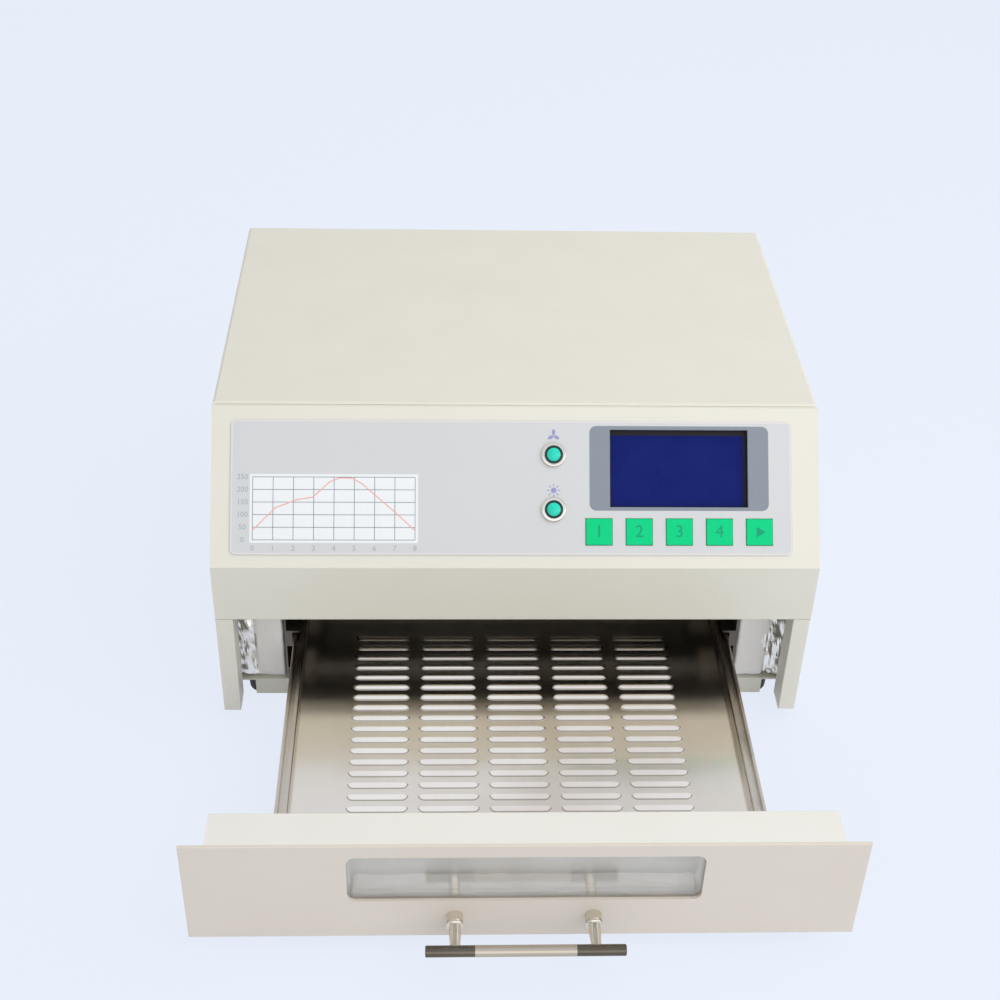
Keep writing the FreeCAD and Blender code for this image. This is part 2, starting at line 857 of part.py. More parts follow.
def electronics_shelf():
    """Shelf over the insulation, with side flanges against the cover."""
    edge = wall_in - seam
    y1 = panel_in - seam
    y0 = mouth + leg_return
    plate = block(-edge, edge, y0, y1, shelf_bottom, shelf_top)
    flange_top = shelf_top + shelf_flange
    flange = block(edge - sheet, edge, y0 + fascia_setback, y1 - panel_flange, shelf_top, flange_top)
    return plate.fuse(both_sides(flange)).removeSplitter().cut(side_holes())


def transformer_core():
    """Laminated core of the mains transformer, with fixing feet."""
    x, y, z = transformer_x, transformer_y, shelf_top
    top = z + core_height
    core = block(x - core_width / 2, x + core_width / 2, y - core_depth / 2, y + core_depth / 2, z, top)
    leg = core_width / 6
    for side in (-1, 1):
        middle = x + side * leg * 1.5
        x0, x1 = middle - leg / 2, middle + leg / 2
        core = core.cut(block(x0, x1, y - core_depth, y + core_depth, z + leg, top - leg))
    return core


def transformer_windings():
    """Coil former and windings round the core's middle leg."""
    x, y, z = transformer_x, transformer_y, shelf_top
    leg = core_width / 6
    low, high = z + leg + fit, z + core_height - leg - fit
    reach = core_depth / 2 + bobbin_reach
    coil = block(x - 2 * leg + fit, x + 2 * leg - fit, y - reach, y + reach, low, high)
    coil = rounded(coil, Z_AXIS, bend_radius)
    for side in (-1, 1):
        x0, x1 = sorted((x + side * (2 * leg - fit), x + side * 3 * leg))
        coil = coil.cut(block(x0, x1, y - core_depth / 2 - fit, y + core_depth / 2 + fit, low, high))
    core_half = core_depth / 2 + 0.05
    return coil.cut(block(x - leg - 0.05, x + leg + 0.05, y - core_half, y + core_half, low, high))


def power_board_level():
    """Underside of the power board."""
    return shelf_top + power_board_rise


def power_board():
    """Mains switching board over the shelf, with its terminals, power switches and capacitors."""
    w, d = power_board_width / 2, power_board_depth / 2
    z = power_board_level()
    x, y = power_board_x, power_board_y
    board = block(x - w, x + w, y - d, y + d, z, z + board_thick)
    return board.fuse(triacs() + [terminal_block()] + capacitors()).removeSplitter()


def power_board_spacers():
    """Four spacers under the power board."""
    w, d = power_board_width / 2 - 2 * post_size, power_board_depth / 2 - 2 * post_size
    places = [(power_board_x + sx * w, power_board_y + sy * d) for sx in (-1, 1) for sy in (-1, 1)]
    return [rod(post_size, V(x, y, shelf_top), Z_AXIS, power_board_rise) for x, y in places]


def heat_sink():
    """Finned heat sink that cools the power switches."""
    z = power_board_level() + board_thick
    x0 = power_board_x - sink_width / 2
    y0 = power_board_y
    sink = block(x0, x0 + sink_width, y0, y0 + sink_base, z, z + sink_height)
    step = (sink_width - sink_fin) / (sink_fins - 1)
    fins = [
        block(x0 + i * step, x0 + i * step + sink_fin, y0 + sink_base, y0 + sink_depth, z, z + sink_height)
        for i in range(sink_fins)
    ]
    return sink.fuse(fins).removeSplitter()


def triacs():
    """Power switches clamped to the front of the heat sink."""
    z = power_board_level() + board_thick
    pitch = sink_width / triac_count
    made = []
    for i in range(triac_count):
        x = power_board_x + (i - (triac_count - 1) / 2) * pitch
        x0, y0 = x - triac_width / 2, power_board_y - triac_depth
        made.append(block(x0, x0 + triac_width, y0, power_board_y, z, z + triac_height))
    return made


def terminal_block():
    """Screw terminals for the lamps, fan and mains leads."""
    z = power_board_level() + board_thick
    width = terminal_ways * terminal_pitch
    y0 = power_board_y - power_board_depth / 2 + board_thick
    x0 = power_board_x - width / 2
    body = block(x0, x0 + width, y0, y0 + terminal_depth, z, z + terminal_height)
    for i in range(terminal_ways):
        x = x0 + (i + 0.5) * terminal_pitch
        screw_mouth = V(x, y0 + terminal_depth / 2, z + terminal_height)
        body = body.cut(rod(terminal_pitch * 0.3, screw_mouth, -Z_AXIS, terminal_height / 2))
    return body


def capacitors():
    """Smoothing capacitors on the power board."""
    z = power_board_level() + board_thick
    x = power_board_x - power_board_width / 2 + 2 * capacitor_radius
    places = [(x, power_board_y), (x, power_board_y + 3 * capacitor_radius)]
    return [rod(capacitor_radius, V(px, py, z), Z_AXIS, capacitor_height) for px, py in places]


def rear_panel():
    """Back plate with side flanges, cut out for the fan, the mains inlet and the power switch."""
    edge = wall_in - seam
    top = case_height - sheet - seam
    plate = block(-edge, edge, panel_in, rear, foot_height, top)
    y0 = panel_in - panel_flange
    flange = block(edge - sheet, edge, y0, panel_in, base_top + seam, shelf_bottom - seam)
    upper = block(edge - sheet, edge, y0, panel_in, shelf_top + seam, top - bend_radius)
    panel = plate.fuse(both_sides(flange) + both_sides(upper)).removeSplitter()
    deep = panel_in - 1
    through = sheet + 2
    panel = panel.cut(rod(duct_radius, V(fan_centre_x, deep, fan_z), Y_AXIS, through))
    for x, z in fan_screw_places:
        panel = panel.cut(rod(screw_radius + fit, V(x, deep, z), Y_AXIS, through))
    w = inlet_width / 2 - inlet_body_margin + fit
    h = inlet_height / 2 - inlet_body_margin + fit
    panel = panel.cut(block(inlet_x - w, inlet_x + w, deep, deep + through, inlet_z - h, inlet_z + h))
    w = switch_width / 2 - rocker_flange + fit
    h = switch_tall / 2 - rocker_flange + fit
    panel = panel.cut(block(switch_x - w, switch_x + w, deep, deep + through, switch_z - h, switch_z + h))
    return panel.cut(side_holes())


def fan_housing():
    """Square fan frame with a round duct, and struts that carry the motor plate."""
    half_size = fan_size / 2
    left, right = fan_centre_x - half_size, fan_centre_x + half_size
    frame = block(left, right, fan_front, panel_in, fan_z - half_size, fan_z + half_size)
    frame = rounded(frame, Y_AXIS, fan_corner_radius)
    centre = V(fan_centre_x, fan_front, fan_z)
    frame = frame.cut(rod(duct_radius, centre, Y_AXIS, fan_depth))
    plate = rod(fan_hub_radius, centre, Y_AXIS, fan_motor_plate)
    spokes = block(
        fan_centre_x - fan_strut / 2, fan_centre_x + fan_strut / 2, fan_front, fan_front + fan_motor_plate,
        fan_z - half_size + 1, fan_z + half_size - 1,
    )
    cross = block(
        fan_centre_x - half_size + 1, fan_centre_x + half_size - 1, fan_front, fan_front + fan_motor_plate,
        fan_z - fan_strut / 2, fan_z + fan_strut / 2,
    )
    frame = frame.fuse([plate, spokes, cross]).removeSplitter()
    frame = frame.cut(rod(fan_shaft_radius + fan_shaft_clear, centre, Y_AXIS, fan_motor_plate))
    for x, z in fan_screw_places:
        frame = frame.cut(rod(screw_radius + fit, V(x, fan_front, z), Y_AXIS, fan_depth))
    return frame


def fan_rotor():
    """Hub, shaft and pitched blades."""
    start = fan_front + fan_motor_plate + 1
    length = panel_in - start - 2
    hub = rod(fan_hub_radius, V(0, 0, 0), Y_AXIS, length)
    rim = max(hub.Edges, key=lambda e: e.CenterOfMass.y)
    hub = hub.makeFillet(bend_radius, [rim])
    tip = duct_radius - fan_tip_gap
    swept = length * 0.8
    root, end = fan_hub_radius - fan_blade_thick, tip + fan_blade_thick
    blade = block(-fan_blade_thick / 2, fan_blade_thick / 2, -swept / 2, swept / 2, root, end)
    blade.rotate(V(0, 0, 0), Z_AXIS, fan_blade_pitch)
    blade.translate(V(0, length / 2, 0))
    blade = blade.common(rod(tip, V(0, 0, 0), Y_AXIS, length))
    blades = []
    for i in range(fan_blades):
        turned = blade.copy()
        turned.rotate(V(0, 0, 0), Y_AXIS, 360.0 * i / fan_blades)
        blades.append(turned)
    shaft = rod(fan_shaft_radius, V(0, fan_front - start, 0), Y_AXIS, start - fan_front)
    rotor = hub.fuse(blades + [shaft]).removeSplitter()
    rotor.translate(V(fan_centre_x, start, fan_z))
    return rotor


def fan_guard():
    """Finger guard: rings on a diagonal cross, with an eye at each fan screw."""
    ring_y = rear + guard_stand
    reach = fan_corner * math.sqrt(2)
    outermost = fan_corner + screw_head_radius
    guard = None
    for turn in (45, -45):
        y0, y1 = ring_y - guard_spoke, ring_y + guard_wire / 4
        spoke = block(-reach, reach, y0, y1, -guard_wire / 2, guard_wire / 2)
        spoke.rotate(V(0, 0, 0), Y_AXIS, turn)
        spoke.translate(V(fan_centre_x, 0, fan_z))
        guard = guard.fuse(spoke) if guard else spoke
    for i in range(guard_rings):
        radius = outermost * (i + 1) / guard_rings
        start = V(fan_centre_x, ring_y, fan_z)
        ring = rod(radius, start, Y_AXIS, guard_wire).cut(rod(radius - guard_wire, start, Y_AXIS, guard_wire))
        guard = guard.fuse(ring)
    for x, z in fan_screw_places:
        guard = guard.fuse(rod(screw_head_radius, V(x, rear, z), Y_AXIS, guard_stand + guard_wire / 2))
    for x, z in fan_screw_places:
        guard = guard.cut(rod(screw_radius + fit, V(x, rear - 1, z), Y_AXIS, 2 * guard_stand + 2))
    return guard


def fan_screws():
    """Screws through the guard, the rear panel and the fan."""
    outside = rear + guard_stand + guard_wire / 2
    shank = outside - fan_front - 2
    return [pan_screw(V(x, outside, z), -Y_AXIS, shank) for x, z in fan_screw_places]


def inlet_housing():
    """Mains inlet: flange outside the panel, body inside, plug recess and fuse drawer slot."""
    w, h = inlet_width / 2, inlet_height / 2
    flange = block(inlet_x - w, inlet_x + w, rear, rear + inlet_flange, inlet_z - h, inlet_z + h)
    flange = rounded(flange, Y_AXIS, bend_radius)
    w, h = w - inlet_body_margin, h - inlet_body_margin
    body = block(inlet_x - w, inlet_x + w, rear - inlet_depth, rear, inlet_z - h, inlet_z + h)
    housing = flange.fuse(body).removeSplitter()
    mouth_y = rear + inlet_flange
    z = inlet_z + socket_rise
    w, h = socket_width / 2, socket_height / 2
    recess = block(inlet_x - w, inlet_x + w, mouth_y - socket_depth, mouth_y, z - h, z + h)
    recess = rounded(recess, Y_AXIS, bend_radius)
    w, h = carrier_width / 2 + carrier_clear, carrier_height / 2 + carrier_clear
    z = inlet_z - carrier_drop
    slot = block(inlet_x - w, inlet_x + w, mouth_y - carrier_depth - carrier_clear, mouth_y, z - h, z + h)
    return housing.cut(recess.fuse(slot))


def inlet_pins():
    """Three flat contact pins in the plug recess."""
    floor = rear + inlet_flange - socket_depth
    z = inlet_z + socket_rise
    places = [(-pin_spread, -pin_drop), (pin_spread, -pin_drop), (0, pin_drop)]
    pins = []
    for dx, dz in places:
        x0, z0 = inlet_x + dx - pin_width / 2, z + dz - pin_height / 2
        pins.append(block(x0, x0 + pin_width, floor, floor + pin_length, z0, z0 + pin_height))
    return pins


def fuse_carrier():
    """Small drawer that holds the mains fuse, with a lip to pull it by."""
    w, h = carrier_width / 2, carrier_height / 2
    z = inlet_z - carrier_drop
    mouth_y = rear + inlet_flange
    body = block(inlet_x - w, inlet_x + w, mouth_y - carrier_depth, mouth_y, z - h, z + h)
    lip = block(inlet_x - w, inlet_x + w, mouth_y, mouth_y + carrier_lip, z - h, z + h)
    body = body.fuse(lip).removeSplitter()
    bed = fuse_radius + carrier_clear
    middle = mouth_y - carrier_depth / 2
    reach = fuse_length / 2 + fit
    floor = z - fuse_radius - fuse_sink
    trough = block(inlet_x - reach, inlet_x + reach, middle - bed, middle + bed, floor, z + h + 1)
    return body.cut(trough)


def fuse():
    """Glass cartridge fuse lying across its drawer."""
    z = inlet_z - carrier_drop - fuse_sink
    y = rear + inlet_flange - carrier_depth / 2
    return rod(fuse_radius, V(inlet_x - fuse_length / 2, y, z), X_AXIS, fuse_length)


def rocker_axis():
    """Point on the rocker's pivot."""
    return V(switch_x, rear - rocker_sink, switch_z)


def switch_housing():
    """Power switch body: rim outside the panel and a well for the rocker."""
    w, h = switch_width / 2, switch_tall / 2
    rim = block(switch_x - w, switch_x + w, rear, rear + rocker_flange, switch_z - h, switch_z + h)
    rim = rounded(rim, Y_AXIS, sheet)
    w, h = w - rocker_flange, h - rocker_flange
    body = block(switch_x - w, switch_x + w, rear - rocker_depth, rear, switch_z - h, switch_z + h)
    housing = rim.fuse(body).removeSplitter()
    w, h = w - rocker_wall, h - rocker_wall
    floor, top = rear - rocker_depth + rocker_wall, rear + rocker_flange + 1
    well = block(switch_x - w, switch_x + w, floor, top, switch_z - h, switch_z + h)
    reach = h + rocker_wall * 0.8
    bore = rod(rocker_pin_radius + fan_shaft_clear, rocker_axis() - Z_AXIS * reach, Z_AXIS, 2 * reach)
    return housing.cut(well).cut(bore)


def switch_rocker():
    """Rocker on an upright pivot, pressed in at the left end, which is off."""
    w = switch_width / 2 - rocker_flange - rocker_wall - rocker_clear
    h = switch_tall / 2 - rocker_flange - rocker_wall - rocker_clear
    axis = rocker_axis()
    top = rear + rocker_flange - axis.y
    tilt = math.radians(rocker_tilt)
    crest = top + 0.4
    side = w * math.cos(tilt) - top * math.sin(tilt)
    outline = [
        V(-side, crest + side * math.tan(tilt), -h),
        V(0, crest, -h),
        V(side, crest + side * math.tan(tilt), -h),
        V(side * 0.6, -1.5, -h),
        V(-side * 0.6, -1.5, -h),
    ]
    body = Part.Face(Part.makePolygon(outline + outline[:1])).extrude(V(0, 0, 2 * h))
    pin_half = h + rocker_wall * 0.6
    body = body.fuse(rod(rocker_pin_radius, V(0, 0, -pin_half), Z_AXIS, 2 * pin_half)).removeSplitter()
    body.rotate(V(0, 0, 0), Z_AXIS, rocker_tilt)
    body.translate(axis)
    return body


def window_cut(y0, y1):
    """The window's opening through a span of Y."""
    w = window_width / 2
    return rounded(block(-w, w, y0, y1, window_sill, window_top), Y_AXIS, window_radius)


def handle_hole_places():
    """Both handle fixings on the drawer's front."""
    return [side * handle_centres / 2 for side in (-1, 1)]


def drawer_plate():
    """Painted front plate of the drawer, with the window and the handle's screw holes."""
    plate = block(-half, half, plate_front, plate_back, plate_bottom, plate_top)
    rim = [e for e in plate.Edges if abs(e.CenterOfMass.y - plate_front) < 1e-6]
    plate = plate.makeFillet(plate_sheet * 0.4, rim)
    plate = plate.cut(window_cut(plate_front - 1, plate_back + 1))
    for x in handle_hole_places():
        start = V(x, plate_front - 1, handle_level)
        plate = plate.cut(rod(handle_screw_radius + fit, start, Y_AXIS, plate_sheet + 2))
    return plate


def drawer_box():
    """Folded rear shell of the drawer's front, open towards the plate, with a ledge that carries the tray."""
    outer = block(-box_half, box_half, plate_back, box_back, box_bottom, plate_top)
    rim = [
        e
        for e in outer.Edges
        if abs(e.CenterOfMass.y - box_back) < 1e-6 and abs(e.CenterOfMass.z - box_bottom) > 1e-6
    ]
    outer = outer.makeFillet(sheet * 0.8, rim)
    side = box_half - sheet
    low, high = box_bottom + sheet, plate_top - sheet
    inner = block(-side, side, plate_back - 1, box_back - sheet, low, high)
    sill = tray_floor + rail_height
    shell = outer.cut(inner)
    edge = guide_tip - 3 * fit
    ledge_top = tray_floor - tray_sheet
    ledge = block(-edge, edge, box_back - sheet, box_back + tray_ledge, ledge_top - sheet, ledge_top)
    shell = shell.fuse(ledge).removeSplitter()
    w = window_width / 2 - blanket_hole_step
    opening = block(-w, w, box_back - 2 * sheet, box_back + 1, sill, window_top - blanket_hole_step / 2)
    return shell.cut(opening)


def window_glass():
    """Heat-proof pane behind the drawer's front plate."""
    w = window_width / 2 + glass_overlap
    low, high = window_sill - glass_overlap, plate_top - sheet - fit
    return block(-w, w, plate_back, plate_back + glass_thick, low, high)


def inner_glass():
    """Second pane against the back of the drawer's front."""
    w = window_width / 2 - blanket_hole_step + glass_overlap / 2
    low, high = tray_floor + 2, plate_top - sheet - fit
    return block(-w, w, box_back - sheet - glass_thick, box_back - sheet, low, high)


def drawer_insulation():
    """Foil-faced fibre board in the drawer's front, with a tunnel behind the window."""
    y0 = plate_back + glass_thick
    y1 = box_back - sheet - glass_thick
    edge = box_half - sheet - drawer_blanket_gap
    low, high = box_bottom + sheet + fit, plate_top - sheet - fit
    board = block(-edge, edge, y0, y1, low, high)
    w = window_width / 2 - blanket_hole_step
    sill, head = window_sill + blanket_hole_step / 2, window_top - blanket_hole_step / 4
    tunnel = block(-w, w, y0 - 1, y1 + 1, sill, head)
    board = board.cut(rounded(tunnel, Y_AXIS, window_radius))
    for x in handle_hole_places():
        start = V(x, y0 - 1, handle_level)
        board = board.cut(rod(screw_head_radius + 2, start, Y_AXIS, handle_screw_length))
    return board


def louvre_section(inset):
    """Quarter arch of a louvre across its length, from its lip at the rear down to its foot at the front."""
    arch = (louvre_width**2 + louvre_rise**2) / (2 * louvre_rise)
    sunk = arch - louvre_rise
    radius = arch - inset
    foot = math.sqrt(radius**2 - sunk**2)
    lip = radius - sunk
    half_turn = math.asin(foot / radius) / 2
    middle = V(0, -radius * math.sin(half_turn), radius * math.cos(half_turn) - sunk)
    crown = Part.Arc(V(0, 0, lip), middle, V(0, -foot, 0)).toShape()
    sides = Part.makePolygon([V(0, -foot, 0), V(0, 0, 0), V(0, 0, lip)])
    return Part.Face(Part.Wire([crown] + sides.Edges))


def louvre_form(inset):
    """A louvre's arch drawn out along its length and turned round at both ends."""
    core = louvre_length / 2 - louvre_width
    face = louvre_section(inset)
    face.translate(V(-core, 0, 0))
    middle = face.extrude(V(2 * core, 0, 0))
    left = face.revolve(V(-core, 0, 0), Z_AXIS, -90)
    face.translate(V(2 * core, 0, 0))
    right = face.revolve(V(core, 0, 0), Z_AXIS, 90)
    return middle.fuse([left, right]).removeSplitter()


def louvre_hood():
    """One louvre: a hood with round ends that slopes to the sheet at the front and is open at the rear."""
    hood = louvre_form(0).cut(louvre_form(louvre_sheet))
    hood.translate(V(0, louvre_width / 2, 0))
    return hood


def louvre_places():
    """Middle of each louvre on the tray."""
    pitch_x = louvre_length + louvre_gap
    middle = (tray_front + tray_back) / 2
    columns = [(i - (louvre_columns - 1) / 2) * pitch_x for i in range(louvre_columns)]
    rows = [middle + (i - (louvre_rows - 1) / 2) * louvre_pitch for i in range(louvre_rows)]
    return [(x, y) for y in rows for x in columns]


def tray_plate():
    """Stainless tray floor with its field of louvres."""
    edge = tray_half - rail_width
    plate = block(-edge, edge, tray_front, tray_back, tray_floor - tray_sheet, tray_floor)
    hood = louvre_hood()
    slot_w, slot_d = louvre_length - 2 * louvre_width, louvre_width - 2 * louvre_sheet
    slots, hoods = [], []
    for x, y in louvre_places():
        x0, y1 = x - slot_w / 2, y + louvre_width / 2
        low, high = tray_floor - 2 * tray_sheet, tray_floor + tray_sheet
        slots.append(block(x0, x0 + slot_w, y1 - slot_d, y1, low, high))
        placed = hood.copy()
        placed.translate(V(x, y, tray_floor))
        hoods.append(placed)
    plate = plate.cut(Part.makeCompound(slots))
    return plate.fuse(hoods).removeSplitter()


def tray_rail():
    """Right-hand edge channel of the tray, which slides in its guide."""
    x0, x1 = tray_half - rail_width, tray_half
    bar = block(x0, x1, tray_front, tray_back, rail_bottom, rail_top)
    rims = [
        e
        for e in bar.Edges
        if abs(e.CenterOfMass.z - rail_top) < 1e-6 and abs(e.tangentAt(e.FirstParameter).y) > 0.999
    ]
    bar = bar.makeFillet(sheet, rims)
    groove = block(x0 + 2.2, x1 - 1.6, tray_front - 1, tray_back + 1, rail_top - 2.4, rail_top + 1)
    return bar.cut(groove)


def handle_posts():
    """Two turned posts, each with a grooved collar at the drawer's front and a tapered stem."""
    posts = []
    length = plate_front - bar_y
    for x in handle_hole_places():
        start = V(x, plate_front, handle_level)
        collar = rod(collar_radius, start, -Y_AXIS, collar_length)
        crown = min(collar.Edges, key=lambda e: e.CenterOfMass.y)
        collar = collar.makeFillet(collar_round, [crown])
        groove_start = start - Y_AXIS * collar_groove_place
        groove = rod(collar_radius + 1, groove_start, -Y_AXIS, collar_groove_width)
        neck = rod(collar_radius - collar_groove, groove_start, -Y_AXIS, collar_groove_width)
        collar = collar.cut(groove.cut(neck))
        stem = Part.makeCone(post_root_radius, post_radius, length, start, -Y_AXIS)
        post = collar.fuse(stem)
        post = post.cut(rod(bar_radius, V(x - 2 * bar_radius, bar_y, handle_level), X_AXIS, 4 * bar_radius))
        post = max(post.Solids, key=lambda s: s.Volume)
        posts.append(post.cut(rod(handle_screw_radius, start, -Y_AXIS, handle_screw_length)))
    return posts


def handle_grip():
    """Satin middle of the handle bar, with a spigot into each end."""
    start = V(-grip_length / 2, bar_y, handle_level)
    spigot = start - X_AXIS * spigot_length
    grip = rod(bar_radius, start, X_AXIS, grip_length)
    return grip.fuse(rod(spigot_radius, spigot, X_AXIS, grip_length + 2 * spigot_length)).removeSplitter()


def handle_ends():
    """Polished ends of the handle bar, carried by the posts."""
    made = []
    for side in (-1, 1):
        length = bar_end - grip_length / 2
        start = V(side * grip_length / 2, bar_y, handle_level)
        end = rod(bar_radius, start, X_AXIS * side, length)
        crown = max(end.Edges, key=lambda e: side * e.CenterOfMass.x)
        end = end.makeFillet(bar_radius * 0.2, [crown])
        made.append(end.cut(rod(spigot_radius + spigot_clearance, start, X_AXIS * side, spigot_length + 1)))
    return made


def handle_screws():
    """Screws from inside the drawer's front into the handle posts."""
    shank = plate_sheet + handle_screw_length - 1.5
    made = []
    for x in handle_hole_places():
        start = V(x, plate_back, handle_level)
        head = rod(screw_head_radius, start, Y_AXIS, screw_head_height)
        made.append(head.fuse(rod(handle_screw_radius - 0.02, start, -Y_AXIS, shank)).removeSplitter())
    return made


def build():
    """Makes every node."""
    os.makedirs("parts", exist_ok=True)
    save("case_cover", case_cover())
    save("front_panel", front_panel())
    save("rear_panel", rear_panel())
    save("base_pan", base_pan())
    save("feet", feet())
    save("foot_screws", foot_screws())
    save("case_screws", case_screws())

    save("control_overlay", control_overlay())
    for number, u in enumerate(key_centres_u, 1):
        save("key_" + str(number), key(u))
    save("key_board", key_board())
    save("lcd_frame", lcd_frame())
    save("lcd_glass", lcd_glass())
    save("lcd_board", lcd_board())
    save("light_bezels", light_bezels())
    save("light_lenses", [light_lens(v) for v in light_centres_v])
    save("control_board", control_board())
    save("board_spacers", key_board_spacers() + control_board_spacers() + power_board_spacers())

    save("chamber_walls", [chamber_wall(-1), chamber_wall(1)])
    save("chamber_floor", chamber_floor_plate())
    save("chamber_roof", chamber_roof_plate())
    save("chamber_rear", chamber_rear_plate())
    save("guide_rails", both_sides(guide_rail()))
    save("quartz_tubes", quartz_tubes())
    save("lamp_filaments", lamp_filaments())
    save("lamp_caps", lamp_caps())
    save("reflector", reflector())
    save("thermocouples", thermocouples())
    save("insulation_sides", [side_insulation(-1), side_insulation(1)])
    save("insulation_roof", roof_insulation())
    save("insulation_rear", rear_insulation())

    save("electronics_shelf", electronics_shelf())
    save("transformer_core", transformer_core())
    save("transformer_windings", transformer_windings())
    save("power_board", power_board())
    save("heat_sink", heat_sink())

    save("fan_housing", fan_housing())
    save("fan_rotor", fan_rotor())
    save("fan_guard", fan_guard())
    save("fan_screws", fan_screws())
    save("inlet_housing", inlet_housing())
    save("inlet_pins", inlet_pins())
    save("fuse_carrier", fuse_carrier())
    save("fuse", fuse())
    save("switch_housing", switch_housing())
    save("switch_rocker", switch_rocker())

    save("drawer_plate", drawer_plate())
    save("drawer_box", drawer_box())
    save("window_glass", window_glass())
    save("inner_glass", inner_glass())
    save("drawer_insulation", drawer_insulation())
    save("tray_plate", tray_plate())
    save("tray_rails", both_sides(tray_rail()))
    save("handle_posts", handle_posts())
    save("handle_grip", handle_grip())
    save("handle_ends", handle_ends())
    save("handle_screws", handle_screws())


build()
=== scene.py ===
"""Looks for a bench-top reflow oven: cream case, printed panel, foil-lined mouth and louvred steel drawer."""

import json
import math

import bmesh
import bpy
from mathutils import Matrix, Vector, noise


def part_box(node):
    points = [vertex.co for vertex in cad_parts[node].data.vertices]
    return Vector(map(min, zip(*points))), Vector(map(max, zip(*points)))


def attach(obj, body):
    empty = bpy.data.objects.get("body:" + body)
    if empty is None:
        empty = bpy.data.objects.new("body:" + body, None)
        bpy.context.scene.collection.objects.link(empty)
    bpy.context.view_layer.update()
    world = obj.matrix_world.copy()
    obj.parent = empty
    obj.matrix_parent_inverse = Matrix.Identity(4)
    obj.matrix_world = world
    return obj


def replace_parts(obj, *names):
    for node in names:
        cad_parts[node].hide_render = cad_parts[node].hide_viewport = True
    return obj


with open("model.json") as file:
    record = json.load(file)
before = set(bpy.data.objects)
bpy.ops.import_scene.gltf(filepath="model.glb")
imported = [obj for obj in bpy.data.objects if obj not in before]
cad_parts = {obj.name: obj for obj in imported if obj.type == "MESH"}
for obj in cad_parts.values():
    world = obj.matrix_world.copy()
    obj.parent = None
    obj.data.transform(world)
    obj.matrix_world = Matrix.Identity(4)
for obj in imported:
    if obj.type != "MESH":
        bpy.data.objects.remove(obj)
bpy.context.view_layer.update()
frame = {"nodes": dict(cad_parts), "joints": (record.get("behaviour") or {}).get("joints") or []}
nodes = frame["nodes"]
joints = {joint["name"]: joint for joint in frame["joints"]}

# Camera, in the part's own frame
CAMERA_PLACE = Vector((-0.04078, -0.75681, 0.61039))
CAMERA_PITCH = math.radians(36.118)
CAMERA_YAW = math.radians(2.806)
CAMERA_ROLL = math.radians(1.821)
CAMERA_LENS = 57.39
SENSOR_WIDTH = 36.0
CLIP_NEAR = 0.01
CLIP_FAR = 50

# Print on the panel and a painted highlight along the label's edge, in metres from the middle of the oven and
# from the label's lower edge
PRINT_THICKNESS = 0.00003
CHART_LEFT = -0.1338
CHART_RIGHT = -0.0518
CHART_LOW = 0.0075
CHART_HIGH = 0.0394
CHART_COLUMNS = 8
CHART_ROWS = 5
CHART_LINE = 0.00035
CHART_MARGIN = 0.0015
CHART_STEP = 50
CURVE_WIDTH = 0.00055
NUMBER_HEIGHT = 0.0027
NUMBER_DROP = 1.6 * NUMBER_HEIGHT
NUMBER_SHIFT = 1.9 * NUMBER_HEIGHT
CAPITAL_SHARE = 0.7
TEXT_STEPS = 3
MERGE_DISTANCE = 1e-7
SURROUND_SIDE = 0.0105
SURROUND_TOP = 0.0018
SURROUND_RADIUS = 0.0035
CORNER_STEPS = 6
LEGEND_HEIGHT = 0.0062
START_RADIUS = LEGEND_HEIGHT / 2
NUMBERED_KEYS = 4
BORDER_INSET = 0.0003
BORDER_LINE = 0.0006
BORDER_RADIUS = 0.0027

# Marks over the lights
ICON_RADIUS = 0.0029
ICON_RISE = 0.0098
FAN_BLADES = 3
BLADE_PLACE = 0.6 * ICON_RADIUS
BLADE_STRETCH = (0.55, 0.3, 1, 1)
BLADE_STEPS = 20
LAMP_RADIUS = ICON_RADIUS / 2
LAMP_STEPS = 24
LAMP_RAYS = 8
RAY_PLACE = 0.95 * ICON_RADIUS
RAY_LENGTH = ICON_RADIUS / 2
RAY_WIDTH = 0.16 * ICON_RADIUS

# Display opening, and dark strips round the edge of the cell: painted shade from the opening's edge, widest
# along the top
WINDOW_WIDTH = 0.071
WINDOW_HEIGHT = 0.0398
SHADE_TOP = 0.0026
SHADE_LEFT = 0.0009
SHADE_RIGHT = 0.0017
SHADE_LOW = 0.0007

# Indicator lenses: a faceted dome in a sloping rim, and how far each part stands proud of the label
LENS_RADIUS = 0.0046
LENS_CORE = 0.0034
LENS_TOP = 0.0029
LENS_SHOULDER = 0.0017
LENS_RIM = 0.001
LENS_DEPTH = 0.002
LENS_RINGS = 3
LENS_FACETS = 20

# Insulation beside the mouth
BLANKET_CUTS = 24
SOFT_ROUNDS = 2
SOFT_SHARE = 0.5
FOIL_SHARE = 0.56
RAGGED_SHARE = 0.16
RAGGED_FOLDS = 90
RAGGED_SHIFT = 3
FOIL_CRINKLE = 0.002
FIBRE_CRINKLE = 0.0004
COARSE_FOLDS = 150
FINE_FOLDS = 380
FINE_SHARE = 0.6
FOLD_LEVEL = 0.6

# Louvres of the tray: how high they stand over the sheet, and their tone at shares of that height: painted
# shade on the sheet, darker painted shade along each louvre's foot and a painted highlight on its back
LOUVRE_RISE = 0.0013
SHADED_SHEET_TONE = (0.84, 0.83, 0.81, 1.0)
PAINTED_SHADE_TONE = (0.46, 0.43, 0.39, 1.0)
PAINTED_HIGHLIGHT_TONE = (1.0, 1.0, 1.0, 1.0)
LOUVRE_PAINTED_LIGHT = [(0.03, SHADED_SHEET_TONE), (0.08, PAINTED_SHADE_TONE), (0.28, PAINTED_SHADE_TONE), (0.45, PAINTED_HIGHLIGHT_TONE)]

# Foil-wrapped board in the drawer's front: the tunnel through it behind the window
TUNNEL_HALF = 0.080
TUNNEL_LOW = 0.0335
TUNNEL_HIGH = 0.0617
LINING_CUTS = 20
LINING_CRINKLE = 0.0011

